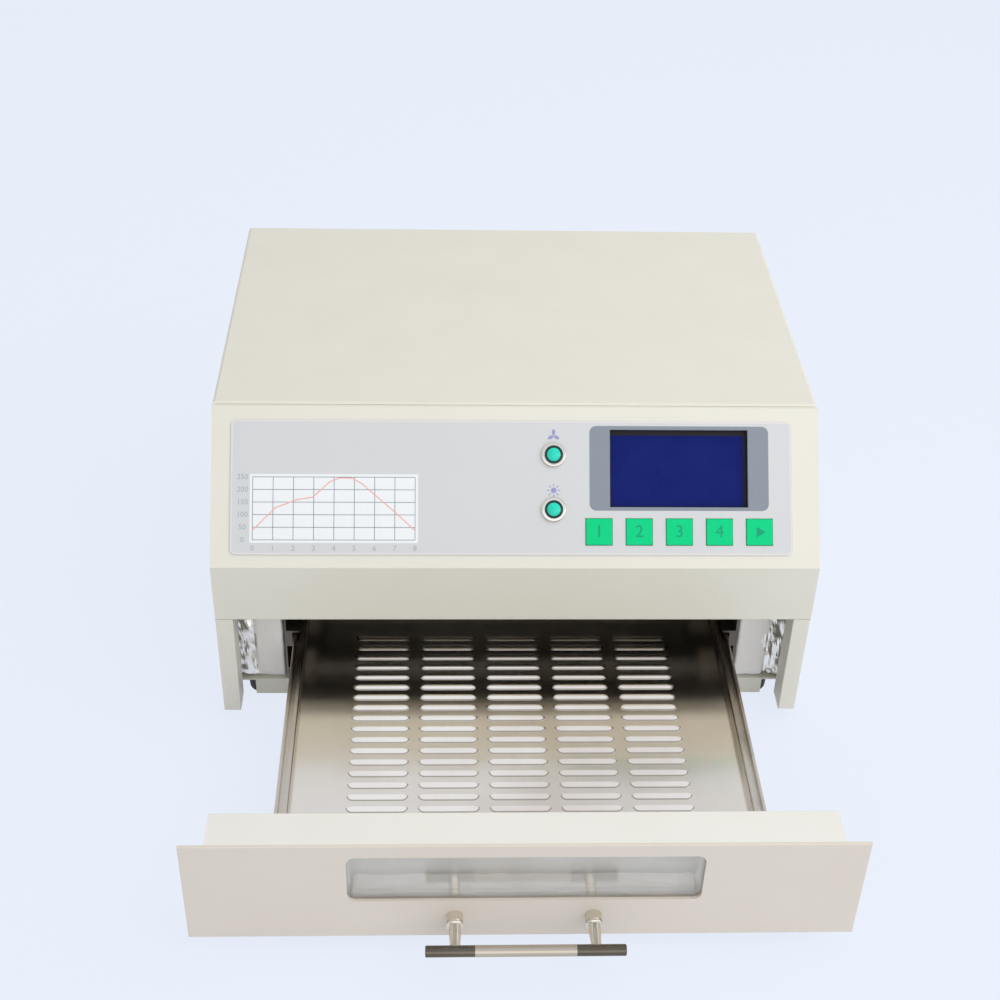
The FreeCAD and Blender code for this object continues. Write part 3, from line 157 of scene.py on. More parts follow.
# Octaves of the noise in the surface effects, and the levels of it between which stains show
PATCH_DETAIL = 4
GRAIN_DETAIL = 2
LINE_DETAIL = 3
STAIN_DETAIL = 5
STAIN_START = 0.44
STAIN_FULL = 0.68

# Studio: level of the plain light, share of the floor that glows like the backdrop, and the soft boxes
WORLD_FILL = 0.55
FLOOR_GLOW = 0.88
FLOOR_HALF = 6.0
FLOOR_ROUGHNESS = 0.9
OVERHEAD_PLACE = (0.75, -0.35, 1.45)
OVERHEAD_SIZE = 1.6
OVERHEAD_POWER = 12.5
FRONT_PLACE = (0.35, -3.2, 1.4)
FRONT_WIDTH = 4.0
FRONT_HEIGHT = 2.6
FRONT_POWER = 22
SIDE_PLACE = (1.7, -1.0, 0.9)
SIDE_SIZE = 1.4
SIDE_POWER = 5
LIT_POINT = (0, -0.1, 0.1)
SIDE_POINT = (0, 0, 0.1)


def colour(red, green, blue):
    """A colour given in screen values from 0 to 255, as linear light."""
    def linear(value):
        value /= 255
        return value / 12.92 if value <= 0.04045 else ((value + 0.055) / 1.055) ** 2.4
    return (linear(red), linear(green), linear(blue), 1.0)


PALE_BLUE = colour(234, 241, 253)


# Shared surface effects

def new_group(name, inputs, outputs):
    """An empty node group with named sockets."""
    group = bpy.data.node_groups.new(name, "ShaderNodeTree")
    for label, kind, default in inputs:
        socket = group.interface.new_socket(name=label, in_out="INPUT", socket_type=kind)
        socket.default_value = default
    for label, kind in outputs:
        group.interface.new_socket(name=label, in_out="OUTPUT", socket_type=kind)
    return group, group.nodes.new("NodeGroupInput"), group.nodes.new("NodeGroupOutput")


def mottle_group():
    """Two close tones mixed by soft noise, with a fine grain for the bump."""
    group, given, made = new_group(
        "soft mottle",
        [
            ("Tone A", "NodeSocketColor", (1, 1, 1, 1)),
            ("Tone B", "NodeSocketColor", (1, 1, 1, 1)),
            ("Patch Scale", "NodeSocketFloat", 20.0),
            ("Grain Scale", "NodeSocketFloat", 1500.0),
            ("Roughness Low", "NodeSocketFloat", 0.4),
            ("Roughness High", "NodeSocketFloat", 0.5),
        ],
        [("Color", "NodeSocketColor"), ("Roughness", "NodeSocketFloat"), ("Grain", "NodeSocketFloat")],
    )
    tree, links = group.nodes, group.links
    place = tree.new("ShaderNodeTexCoord")
    patches = tree.new("ShaderNodeTexNoise")
    patches.inputs["Detail"].default_value = PATCH_DETAIL
    grain = tree.new("ShaderNodeTexNoise")
    grain.inputs["Detail"].default_value = GRAIN_DETAIL
    mix = tree.new("ShaderNodeMix")
    mix.data_type = "RGBA"
    spread = tree.new("ShaderNodeMapRange")
    links.new(place.outputs["Object"], patches.inputs["Vector"])
    links.new(place.outputs["Object"], grain.inputs["Vector"])
    links.new(given.outputs["Patch Scale"], patches.inputs["Scale"])
    links.new(given.outputs["Grain Scale"], grain.inputs["Scale"])
    links.new(patches.outputs["Fac"], mix.inputs["Factor"])
    links.new(given.outputs["Tone A"], mix.inputs["A"])
    links.new(given.outputs["Tone B"], mix.inputs["B"])
    links.new(patches.outputs["Fac"], spread.inputs["Value"])
    links.new(given.outputs["Roughness Low"], spread.inputs["To Min"])
    links.new(given.outputs["Roughness High"], spread.inputs["To Max"])
    links.new(mix.outputs["Result"], made.inputs["Color"])
    links.new(spread.outputs["Result"], made.inputs["Roughness"])
    links.new(grain.outputs["Fac"], made.inputs["Grain"])
    return group


def brushed_group():
    """Fine lines along one axis for drawn and brushed metal, with a stain colour in soft patches."""
    group, given, made = new_group(
        "brushed metal",
        [
            ("Metal", "NodeSocketColor", (0.7, 0.7, 0.7, 1)),
            ("Stain", "NodeSocketColor", (0.4, 0.3, 0.2, 1)),
            ("Stain Amount", "NodeSocketFloat", 0.2),
            ("Stain Scale", "NodeSocketFloat", 14.0),
            ("Line Scale", "NodeSocketVector", (20.0, 2500.0, 2500.0)),
            ("Roughness Low", "NodeSocketFloat", 0.22),
            ("Roughness High", "NodeSocketFloat", 0.36),
        ],
        [("Color", "NodeSocketColor"), ("Roughness", "NodeSocketFloat"), ("Lines", "NodeSocketFloat")],
    )
    tree, links = group.nodes, group.links
    place = tree.new("ShaderNodeTexCoord")
    stretch = tree.new("ShaderNodeVectorMath")
    stretch.operation = "MULTIPLY"
    lines = tree.new("ShaderNodeTexNoise")
    lines.inputs["Scale"].default_value = 1.0
    lines.inputs["Detail"].default_value = LINE_DETAIL
    stains = tree.new("ShaderNodeTexNoise")
    stains.inputs["Detail"].default_value = STAIN_DETAIL
    stain_mask = tree.new("ShaderNodeMapRange")
    stain_mask.inputs["From Min"].default_value = STAIN_START
    stain_mask.inputs["From Max"].default_value = STAIN_FULL
    amount = tree.new("ShaderNodeMath")
    amount.operation = "MULTIPLY"
    mix = tree.new("ShaderNodeMix")
    mix.data_type = "RGBA"
    spread = tree.new("ShaderNodeMapRange")
    links.new(place.outputs["Object"], stretch.inputs[0])
    links.new(given.outputs["Line Scale"], stretch.inputs[1])
    links.new(stretch.outputs["Vector"], lines.inputs["Vector"])
    links.new(place.outputs["Object"], stains.inputs["Vector"])
    links.new(given.outputs["Stain Scale"], stains.inputs["Scale"])
    links.new(stains.outputs["Fac"], stain_mask.inputs["Value"])
    links.new(stain_mask.outputs["Result"], amount.inputs[0])
    links.new(given.outputs["Stain Amount"], amount.inputs[1])
    links.new(amount.outputs["Value"], mix.inputs["Factor"])
    links.new(given.outputs["Metal"], mix.inputs["A"])
    links.new(given.outputs["Stain"], mix.inputs["B"])
    links.new(lines.outputs["Fac"], spread.inputs["Value"])
    links.new(given.outputs["Roughness Low"], spread.inputs["To Min"])
    links.new(given.outputs["Roughness High"], spread.inputs["To Max"])
    links.new(mix.outputs["Result"], made.inputs["Color"])
    links.new(spread.outputs["Result"], made.inputs["Roughness"])
    links.new(lines.outputs["Fac"], made.inputs["Lines"])
    return group


MOTTLE = mottle_group()
BRUSHED = brushed_group()


# Finishes

def grouped_finish(name, group, values, bump_from, bump_depth, metallic, specular):
    """A material that takes its colour, roughness and bump from a shared effect."""
    material = bpy.data.materials.new(name)
    material.use_nodes = True
    tree, links = material.node_tree.nodes, material.node_tree.links
    shader = tree["Principled BSDF"]
    shader.inputs["Metallic"].default_value = metallic
    shader.inputs["Specular IOR Level"].default_value = specular
    effect = tree.new("ShaderNodeGroup")
    effect.node_tree = group
    for label, value in values.items():
        effect.inputs[label].default_value = value
    links.new(effect.outputs["Color"], shader.inputs["Base Color"])
    links.new(effect.outputs["Roughness"], shader.inputs["Roughness"])
    bump = tree.new("ShaderNodeBump")
    bump.inputs["Strength"].default_value = 1.0
    bump.inputs["Distance"].default_value = bump_depth
    links.new(effect.outputs[bump_from], bump.inputs["Height"])
    links.new(bump.outputs["Normal"], shader.inputs["Normal"])
    return material


def mottled_finish(name, tone_a, tone_b, patch, grain, rough, bump, metallic=0.0, specular=0.5):
    """A finish of two close tones with a fine grain."""
    values = {
        "Tone A": tone_a,
        "Tone B": tone_b,
        "Patch Scale": patch,
        "Grain Scale": grain,
        "Roughness Low": rough[0],
        "Roughness High": rough[1],
    }
    return grouped_finish(name, MOTTLE, values, "Grain", bump, metallic, specular)


def brushed_finish(name, metal, stain, stained, lines, rough, bump):
    """A drawn or brushed metal finish, with lines that are long where their scale is low."""
    values = {
        "Metal": metal,
        "Stain": stain,
        "Stain Amount": stained,
        "Line Scale": lines,
        "Roughness Low": rough[0],
        "Roughness High": rough[1],
    }
    return grouped_finish(name, BRUSHED, values, "Lines", bump, metallic=1.0, specular=0.5)


cream_paint = mottled_finish(
    "cream powder coat", colour(231, 228, 216), colour(225, 222, 208),
    patch=30, grain=1800, rough=(0.42, 0.5), bump=2e-5,
)
drawer_paint = mottled_finish(
    "warm cream powder coat", colour(225, 215, 203), colour(219, 209, 196),
    patch=30, grain=1800, rough=(0.42, 0.5), bump=2e-5,
)
# The drawer box's cream paint, made paler as painted light on the box's top.
cream_paint_painted_light = mottled_finish(
    "cream powder coat with painted light", colour(238, 236, 229), colour(232, 230, 222),
    patch=30, grain=1800, rough=(0.42, 0.5), bump=2e-5,
)
label_film = mottled_finish(
    "satin label film", colour(212, 213, 214), colour(208, 209, 210),
    patch=12, grain=2500, rough=(0.34, 0.4), bump=4e-6,
)
hot_steel = brushed_finish(
    "heat-tinted rail steel", colour(206, 196, 182), colour(84, 52, 30),
    stained=0.9, lines=(2600, 24, 2600), rough=(0.2, 0.36), bump=4e-6,
)
chamber_steel = brushed_finish(
    "dark chamber steel", colour(120, 114, 106), colour(60, 48, 38),
    stained=0.6, lines=(30, 1800, 1800), rough=(0.35, 0.5), bump=4e-6,
)
plated_steel = brushed_finish(
    "zinc-plated sheet", colour(196, 198, 200), colour(170, 168, 160),
    stained=0.4, lines=(40, 1500, 1500), rough=(0.3, 0.45), bump=4e-6,
)
polished_metal = brushed_finish(
    "polished nickel", colour(230, 223, 210), colour(205, 196, 182),
    stained=0.3, lines=(900, 900, 900), rough=(0.06, 0.11), bump=1e-6,
)
# Polished nickel of the handle's ends, its colour darkened as a painted reflection of dark surroundings.
nickel_painted_dark = brushed_finish(
    "polished nickel with painted dark reflection", colour(112, 103, 91), colour(82, 72, 62),
    stained=0.6, lines=(40, 900, 900), rough=(0.07, 0.12), bump=1e-6,
)
satin_grip = brushed_finish(
    "satin handle grip", colour(198, 185, 167), colour(180, 167, 149),
    stained=0.3, lines=(2400, 60, 60), rough=(0.28, 0.4), bump=3e-6,
)
satin_aluminium = brushed_finish(
    "satin aluminium", colour(222, 222, 222), colour(205, 205, 205),
    stained=0.2, lines=(60, 1800, 1800), rough=(0.22, 0.34), bump=3e-6,
)
black_rubber = mottled_finish(
    "black rubber", colour(26, 26, 27), colour(34, 34, 34),
    patch=60, grain=2200, rough=(0.6, 0.75), bump=3e-5,
)
black_plastic = mottled_finish(
    "black moulded plastic", colour(24, 24, 26), colour(30, 30, 32),
    patch=60, grain=3000, rough=(0.4, 0.52), bump=1e-5,
)
white_ceramic = mottled_finish(
    "fired ceramic", colour(232, 228, 218), colour(220, 214, 202),
    patch=80, grain=1500, rough=(0.5, 0.65), bump=3e-5,
)
blanket_fibre = mottled_finish(
    "white fibre blanket", colour(250, 247, 243), colour(243, 239, 234),
    patch=60, grain=900, rough=(0.8, 0.95), bump=0.0002,
)
foil = mottled_finish(
    "crinkled foil", colour(250, 247, 243), colour(236, 232, 226),
    patch=120, grain=260, rough=(0.26, 0.42), bump=0.0004, metallic=1.0,
)
key_green = mottled_finish(
    "green key plastic", colour(6, 205, 128), colour(14, 213, 138),
    patch=150, grain=2600, rough=(0.4, 0.5), bump=1e-5, specular=0.12,
)
lens_teal = mottled_finish(
    "teal lens", colour(6, 206, 176), colour(18, 226, 198),
    patch=500, grain=1400, rough=(0.1, 0.2), bump=4e-5,
)
# Same teal lens plastic, darkened on the lens's sloping rim as painted shade.
lens_painted_shade = mottled_finish(
    "teal lens rim with painted shade", colour(6, 70, 66), colour(4, 44, 44),
    patch=500, grain=1400, rough=(0.15, 0.25), bump=2e-5,
)
display_blue = mottled_finish(
    "blue display cell", colour(16, 27, 102), colour(22, 37, 112),
    patch=90, grain=3200, rough=(0.25, 0.32), bump=2e-6, specular=0.06,
)
circuit_green = mottled_finish(
    "green circuit board", colour(22, 96, 50), colour(28, 110, 60),
    patch=200, grain=900, rough=(0.35, 0.5), bump=1e-5,
)
iron_core = mottled_finish(
    "varnished core", colour(62, 60, 60), colour(78, 74, 70),
    patch=100, grain=1200, rough=(0.4, 0.55), bump=2e-5, metallic=0.6,
)
winding_tape = mottled_finish(
    "amber winding tape", colour(190, 130, 50), colour(170, 110, 40),
    patch=100, grain=900, rough=(0.35, 0.5), bump=2e-5,
)
brass = brushed_finish(
    "plated brass", colour(214, 178, 110), colour(180, 140, 80),
    stained=0.3, lines=(900, 900, 60), rough=(0.25, 0.35), bump=3e-6,
)


def louvred_steel():
    """Tray steel: painted shade on the sheet, darker painted shade at a louvre's foot and a painted highlight
    on its back.
    """
    steel = brushed_finish(
        "brushed tray steel", colour(252, 243, 231), colour(206, 188, 168),
        stained=0.4, lines=(30, 2600, 2600), rough=(0.13, 0.22), bump=1.5e-6,
    )
    tree, links = steel.node_tree.nodes, steel.node_tree.links
    louvre_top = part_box("tray_plate")[1][2]
    place = tree.new("ShaderNodeTexCoord")
    axes = tree.new("ShaderNodeSeparateXYZ")
    height = tree.new("ShaderNodeMapRange")
    height.inputs["From Min"].default_value = louvre_top - LOUVRE_RISE
    height.inputs["From Max"].default_value = louvre_top
    # Ramp by height over the sheet: painted shade on the sheet and at each louvre's foot, painted highlight
    # on the louvre's back.
    painted_light_ramp = tree.new("ShaderNodeValToRGB")
    steps = painted_light_ramp.color_ramp.elements
    steps[0].position, steps[0].color = LOUVRE_PAINTED_LIGHT[0]
    steps[1].position, steps[1].color = LOUVRE_PAINTED_LIGHT[-1]
    for position, tone in LOUVRE_PAINTED_LIGHT[1:-1]:
        steps.new(position).color = tone
    painted_light_mix = tree.new("ShaderNodeMix")
    painted_light_mix.data_type = "RGBA"
    painted_light_mix.blend_type = "MULTIPLY"
    painted_light_mix.inputs["Factor"].default_value = 1.0
    shader = tree["Principled BSDF"]
    metal = shader.inputs["Base Color"].links[0].from_socket
    links.new(place.outputs["Object"], axes.inputs["Vector"])
    links.new(axes.outputs["Z"], height.inputs["Value"])
    links.new(height.outputs["Result"], painted_light_ramp.inputs["Fac"])
    links.new(metal, painted_light_mix.inputs["A"])
    links.new(painted_light_ramp.outputs["Color"], painted_light_mix.inputs["B"])
    links.new(painted_light_mix.outputs["Result"], shader.inputs["Base Color"])
    return steel


tray_steel = louvred_steel()


def ink(name, tone, thin_tone):
    """Printed ink, a little thinner in places."""
    return mottled_finish(
        name, tone, thin_tone, patch=300, grain=4000, rough=(0.42, 0.5), bump=2e-6, specular=0.25
    )


print_white = ink("white print", colour(240, 243, 244), colour(236, 239, 241))
print_grey = ink("grey print", colour(141, 149, 158), colour(136, 144, 154))
print_line = ink("chart line print", colour(132, 142, 150), colour(142, 152, 160))
print_pale_figure = ink("pale figure print", colour(164, 172, 182), colour(172, 180, 190))
print_red = ink("red curve print", colour(240, 172, 166), colour(243, 182, 176))
print_violet = ink("violet symbol print", colour(150, 150, 192), colour(160, 160, 200))
print_key = ink("dark green key print", colour(10, 152, 110), colour(16, 164, 120))
# Pale line round the label: painted highlight of the film's raised edge.
label_edge_highlight = ink("painted highlight on label edge", colour(232, 224, 222), colour(228, 220, 219))
# Near-black for the strips on the display cell: painted shade from the opening's edge.
display_shade_ink = ink("painted shade on display cell", colour(30, 25, 28), colour(36, 30, 32))


def clear_glass(name, tint, haze, cover, mirror, rough=(0.03, 0.09)):
    """Pane or tube with a haze that covers part of it, and lets the rest of the light through."""
    glass = mottled_finish(name, tint, haze, patch=40, grain=3000, rough=rough, bump=1e-6, metallic=mirror)
    glass.node_tree.nodes["Principled BSDF"].inputs["Alpha"].default_value = cover
    return glass


window_pane = clear_glass(
    "hazed glass", colour(255, 252, 246), colour(220, 213, 202), cover=0.36, mirror=0.6, rough=(0.05, 0.2)
)
clear_pane = clear_glass(
    "clear glass", colour(246, 246, 242), colour(236, 236, 232), cover=0.1, mirror=1.0
)
quartz = clear_glass(
    "clear quartz", colour(240, 240, 236), colour(228, 228, 222), cover=0.35, mirror=0.0
)
lining_foil = mottled_finish(
    "soft foil lining", colour(252, 248, 242), colour(240, 236, 229),
    patch=90, grain=400, rough=(0.35, 0.5), bump=0.0003, metallic=0.2,
)

FINISHES = {
    cream_paint: ["case_cover", "front_panel", "rear_panel", "base_pan"],
    drawer_paint: ["drawer_plate"],
    cream_paint_painted_light: ["drawer_box"],
    label_film: ["control_overlay"],
    tray_steel: ["tray_plate"],
    hot_steel: ["tray_rails"],
    chamber_steel: [
        "chamber_walls", "chamber_floor", "chamber_roof", "chamber_rear", "thermocouples", "guide_rails",
    ],
    plated_steel: ["electronics_shelf", "foot_screws", "handle_screws", "case_screws"],
    polished_metal: ["light_bezels", "handle_posts", "fan_guard", "fan_screws", "inlet_pins"],
    nickel_painted_dark: ["handle_ends"],
    satin_grip: ["handle_grip"],
    satin_aluminium: ["reflector", "heat_sink"],
    black_rubber: ["feet"],
    black_plastic: [
        "lcd_frame", "fan_housing", "fan_rotor", "inlet_housing", "fuse_carrier", "switch_housing",
        "switch_rocker",
    ],
    white_ceramic: ["lamp_caps"],
    blanket_fibre: ["insulation_roof", "insulation_rear"],
    foil: ["drawer_insulation", "insulation_sides"],
    key_green: ["key_1", "key_2", "key_3", "key_4", "key_5"],
    lens_teal: ["light_lenses"],
    display_blue: ["lcd_glass"],
    circuit_green: ["key_board", "lcd_board", "control_board", "power_board"],
    iron_core: ["transformer_core", "lamp_filaments"],
    winding_tape: ["transformer_windings"],
    brass: ["board_spacers"],
    window_pane: ["window_glass"],
    clear_pane: ["inner_glass", "fuse"],
    quartz: ["quartz_tubes"],
}


def dress_nodes():
    """Gives each node of the frame its finish."""
    for finish, names in FINISHES.items():
        for name in names:
            mesh = nodes[name].data
            mesh.materials.clear()
            mesh.materials.append(finish)


# Meshes

def finished(name, shape, finish, body, slot, *more_finishes):
    """Turns a bmesh into a piece of the object that rides on a body."""
    mesh = bpy.data.meshes.new(name)
    bmesh.ops.recalc_face_normals(shape, faces=shape.faces)
    shape.to_mesh(mesh)
    shape.free()
    for each in (finish, *more_finishes):
        mesh.materials.append(each)
    piece = bpy.data.objects.new(name, mesh)
    bpy.context.scene.collection.objects.link(piece)
    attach(piece, body)
    return piece


def add_plate(shape, width, height, thickness, place):
    """Adds a thin plate, centred and standing on the plane of a placement."""
    size = Matrix.Diagonal((width, height, thickness, 1))
    lift = Matrix.Translation((0, 0, thickness / 2))
    bmesh.ops.create_cube(shape, size=1.0, matrix=place @ lift @ size)


class Panel:
    """The sloping panel's own axes, read from the label and the direction in which the keys move."""

    def __init__(self):
        label = nodes["control_overlay"].data.vertices
        self.normal = -Vector(joints["key_1_press"]["axis"]).normalized()
        self.right = Vector((1, 0, 0))
        self.up = self.normal.cross(self.right)
        self.face = max(vertex.co.dot(self.normal) for vertex in label)
        self.low = min(vertex.co.dot(self.up) for vertex in label)

    def at(self, u, v, proud=0.0):
        """Placement on the label's face: u from the middle, v from the lower edge."""
        point = self.right * u + self.up * (self.low + v) + self.normal * (self.face + proud)
        turn = Matrix((self.right, self.up, self.normal)).transposed().to_4x4()
        return Matrix.Translation(point) @ turn

    def extent(self, name):
        """Width and height of a node on the panel."""
        places = [vertex.co for vertex in nodes[name].data.vertices]
        us = [place.dot(self.right) for place in places]
        vs = [place.dot(self.up) for place in places]
        return max(us) - min(us), max(vs) - min(vs)

    def middle(self, name):
        """Middle of a node in the panel's axes, and its outermost reach along the normal."""
        places = [vertex.co for vertex in nodes[name].data.vertices]
        us = [place.dot(self.right) for place in places]
        vs = [place.dot(self.up) - self.low for place in places]
        reach = max(place.dot(self.normal) for place in places) - self.face
        return (min(us) + max(us)) / 2, (min(vs) + max(vs)) / 2, reach


panel = Panel()


def printed_text(name, words, height, place, finish, body, slot):
    """Figures printed on a face, as a thin mesh with its place applied."""
    curve = bpy.data.curves.new(name, "FONT")
    curve.body = words
    curve.size = height / CAPITAL_SHARE
    curve.align_x = "CENTER"
    curve.align_y = "CENTER"
    curve.extrude = PRINT_THICKNESS / 2
    curve.resolution_u = TEXT_STEPS
    text = bpy.data.objects.new(name, curve)
    bpy.context.scene.collection.objects.link(text)
    bpy.context.view_layer.update()
    mesh = bpy.data.meshes.new_from_object(text)
    bpy.data.objects.remove(text)
    shape = bmesh.new()
    shape.from_mesh(mesh)
    bmesh.ops.remove_doubles(shape, verts=shape.verts, dist=MERGE_DISTANCE)
    lift = Matrix.Translation((0, 0, PRINT_THICKNESS / 2))
    bmesh.ops.transform(shape, matrix=place @ lift, verts=shape.verts)
    return finished(name, shape, finish, body, slot)


def chart_ground():
    """White field behind the temperature chart."""
    shape = bmesh.new()
    width = CHART_RIGHT - CHART_LEFT + 2 * CHART_MARGIN
    height = CHART_HIGH - CHART_LOW + 2 * CHART_MARGIN
    place = panel.at((CHART_LEFT + CHART_RIGHT) / 2, (CHART_LOW + CHART_HIGH) / 2)
    add_plate(shape, width, height, PRINT_THICKNESS, place)
    return finished("chart_ground", shape, print_white, "case", "label")


def chart_grid():
    """Ruled lines of the temperature chart."""
    shape = bmesh.new()
    width, height = CHART_RIGHT - CHART_LEFT, CHART_HIGH - CHART_LOW
    for column in range(CHART_COLUMNS + 1):
        u = CHART_LEFT + width * column / CHART_COLUMNS
        place = panel.at(u, CHART_LOW + height / 2, PRINT_THICKNESS)
        add_plate(shape, CHART_LINE, height, PRINT_THICKNESS, place)
    for row in range(CHART_ROWS + 1):
        v = CHART_LOW + height * row / CHART_ROWS
        place = panel.at(CHART_LEFT + width / 2, v, PRINT_THICKNESS)
        add_plate(shape, width, CHART_LINE, PRINT_THICKNESS, place)
    return finished("chart_grid", shape, print_line, "case", "label")


# Heating curve over the chart: share of its width and of its height
CURVE_POINTS = [
    (0, 0.15), (0.14, 0.51), (0.27, 0.64), (0.37, 0.68), (0.47, 0.92), (0.53, 0.985),
    (0.61, 0.985), (0.67, 0.9), (0.75, 0.72), (0.87, 0.46), (1, 0.15),
]


def chart_curve():
    """Heating curve: preheat, soak, peak and cooling."""
    shape = bmesh.new()
    width, height = CHART_RIGHT - CHART_LEFT, CHART_HIGH - CHART_LOW
    places = [Vector((CHART_LEFT + width * u, CHART_LOW + height * v, 0)) for u, v in CURVE_POINTS]
    for start, end in zip(places, places[1:]):
        run = end - start
        middle = (start + end) / 2
        turn = Matrix.Rotation(math.atan2(run.y, run.x), 4, "Z")
        place = panel.at(middle.x, middle.y, 2 * PRINT_THICKNESS) @ turn
        add_plate(shape, run.length + CURVE_WIDTH / 2, CURVE_WIDTH, PRINT_THICKNESS, place)
    return finished("chart_curve", shape, print_red, "case", "label")


def chart_figure(name, number, place):
    """One plain number beside the chart."""
    return printed_text(name, str(number), NUMBER_HEIGHT, place, print_pale_figure, "case", "label")


def chart_figures():
    """Plain numbers along both sides of the chart."""
    width, height = CHART_RIGHT - CHART_LEFT, CHART_HIGH - CHART_LOW
    for column in range(CHART_COLUMNS + 1):
        place = panel.at(CHART_LEFT + width * column / CHART_COLUMNS, CHART_LOW - NUMBER_DROP)
        chart_figure(f"chart_time_{column}", column, place)
    for row in range(CHART_ROWS + 1):
        place = panel.at(CHART_LEFT - NUMBER_SHIFT, CHART_LOW + height * row / CHART_ROWS)
        chart_figure(f"chart_heat_{row}", CHART_STEP * row, place)


def rounded_field(width, height, radius):
    """A flat rectangle with rounded corners, as a new bmesh."""
    shape = bmesh.new()
    bmesh.ops.create_grid(shape, x_segments=1, y_segments=1, size=0.5)
    bmesh.ops.scale(shape, vec=(width, height, 1), verts=shape.verts)
    bmesh.ops.bevel(
        shape, geom=shape.verts[:], offset=radius, affect="VERTICES", segments=CORNER_STEPS, profile=0.5,
        material=-1,
    )
    return shape


def thicken_print(shape):
    """Gives a flat print its thickness."""
    raised = bmesh.ops.extrude_face_region(shape, geom=shape.faces[:])["geom"]
    lifted = [item for item in raised if isinstance(item, bmesh.types.BMVert)]
    bmesh.ops.translate(shape, vec=(0, 0, PRINT_THICKNESS), verts=lifted)


def label_border():
    """Pale line round the edge of the label: a painted highlight where light catches the film's raised edge.
    """
    u, v, _ = panel.middle("control_overlay")
    width, height = panel.extent("control_overlay")
    shape = rounded_field(width - 2 * BORDER_INSET, height - 2 * BORDER_INSET, BORDER_RADIUS)
    field = shape.faces[:]
    bmesh.ops.inset_region(shape, faces=field, thickness=BORDER_LINE, use_boundary=True, use_even_offset=True)
    bmesh.ops.delete(shape, geom=field, context="FACES")
    thicken_print(shape)
    bmesh.ops.transform(shape, matrix=panel.at(u, v), verts=shape.verts)
    return finished("label_border", shape, label_edge_highlight, "case", "label")


def display_surround():
    """Grey printed border round the display."""
    u, v, _ = panel.middle("lcd_glass")
    shape = rounded_field(WINDOW_WIDTH + 2 * SURROUND_SIDE, WINDOW_HEIGHT + 2 * SURROUND_TOP, SURROUND_RADIUS)
    rim = shape.edges[:]
    hole = bmesh.ops.create_grid(shape, x_segments=1, y_segments=1, size=0.5)["verts"]
    bmesh.ops.scale(shape, vec=(WINDOW_WIDTH, WINDOW_HEIGHT, 1), verts=hole)
    inner_rim = list({edge for vertex in hole for edge in vertex.link_edges})
    bmesh.ops.delete(shape, geom=shape.faces[:], context="FACES_ONLY")
    bmesh.ops.bridge_loops(shape, edges=rim + inner_rim)
    thicken_print(shape)
    bmesh.ops.transform(shape, matrix=panel.at(u, v), verts=shape.verts)
    return finished("display_surround", shape, print_grey, "case", "label")


def display_mask():
    """Dark strips on the display cell just inside its opening: painted shade cast by the opening's edge."""
    shape = bmesh.new()
    u, v, reach = panel.middle("lcd_glass")
    half_width, half_height = WINDOW_WIDTH / 2, WINDOW_HEIGHT / 2
    inner_height = WINDOW_HEIGHT - SHADE_TOP - SHADE_LOW
    inner_v = v + (SHADE_LOW - SHADE_TOP) / 2
    strips = [
        (WINDOW_WIDTH, SHADE_TOP, u, v + half_height - SHADE_TOP / 2),
        (WINDOW_WIDTH, SHADE_LOW, u, v - half_height + SHADE_LOW / 2),
        (SHADE_LEFT, inner_height, u - half_width + SHADE_LEFT / 2, inner_v),
        (SHADE_RIGHT, inner_height, u + half_width - SHADE_RIGHT / 2, inner_v),
    ]
    for width, height, strip_u, strip_v in strips:
        add_plate(shape, width, height, PRINT_THICKNESS, panel.at(strip_u, strip_v, reach))
    return finished("display_mask", shape, display_shade_ink, "case", "lcd")


def light_places():
    """Across and up places of the two lights on the panel."""
    places = [vertex.co for vertex in nodes["light_bezels"].data.vertices]
    us = [place.dot(panel.right) for place in places]
    vs = [place.dot(panel.up) - panel.low for place in places]
    radius = (max(us) - min(us)) / 2
    return (min(us) + max(us)) / 2, min(vs) + radius, max(vs) - radius


def lens_profile():
    """Half section of a lens as radius and height: a dome, a sloping rim and a straight side."""
    shares = [ring / LENS_RINGS for ring in range(LENS_RINGS + 1)]
    dome = [(LENS_CORE * share, LENS_TOP - (LENS_TOP - LENS_SHOULDER) * share**2) for share in shares]
    return [*dome, (LENS_RADIUS, LENS_RIM), (LENS_RADIUS, -LENS_DEPTH)]


def light_lens(name, u, v):
    """A cut lens: bright faceted middle in a sloping rim with painted shade."""
    shape = bmesh.new()
    rings = [shape.verts.new((radius, 0, proud)) for radius, proud in lens_profile()]
    edges = [shape.edges.new(pair) for pair in zip(rings, rings[1:])]
    bmesh.ops.spin(
        shape, geom=rings + edges, cent=(0, 0, 0), axis=(0, 0, 1), angle=2 * math.pi, steps=LENS_FACETS,
        use_merge=True,
    )
    bmesh.ops.remove_doubles(shape, verts=shape.verts, dist=MERGE_DISTANCE)
    bmesh.ops.holes_fill(shape, edges=[edge for edge in shape.edges if edge.is_boundary])
    # Faces beyond the core take the rim's painted shade.
    for face in shape.faces:
        face.material_index = 0 if face.calc_center_median().to_2d().length < LENS_CORE else 1
    bmesh.ops.transform(shape, matrix=panel.at(u, v), verts=shape.verts)
    piece = finished(name, shape, lens_teal, "case", "lens_teal", lens_painted_shade)
    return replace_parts(piece, "light_lenses")


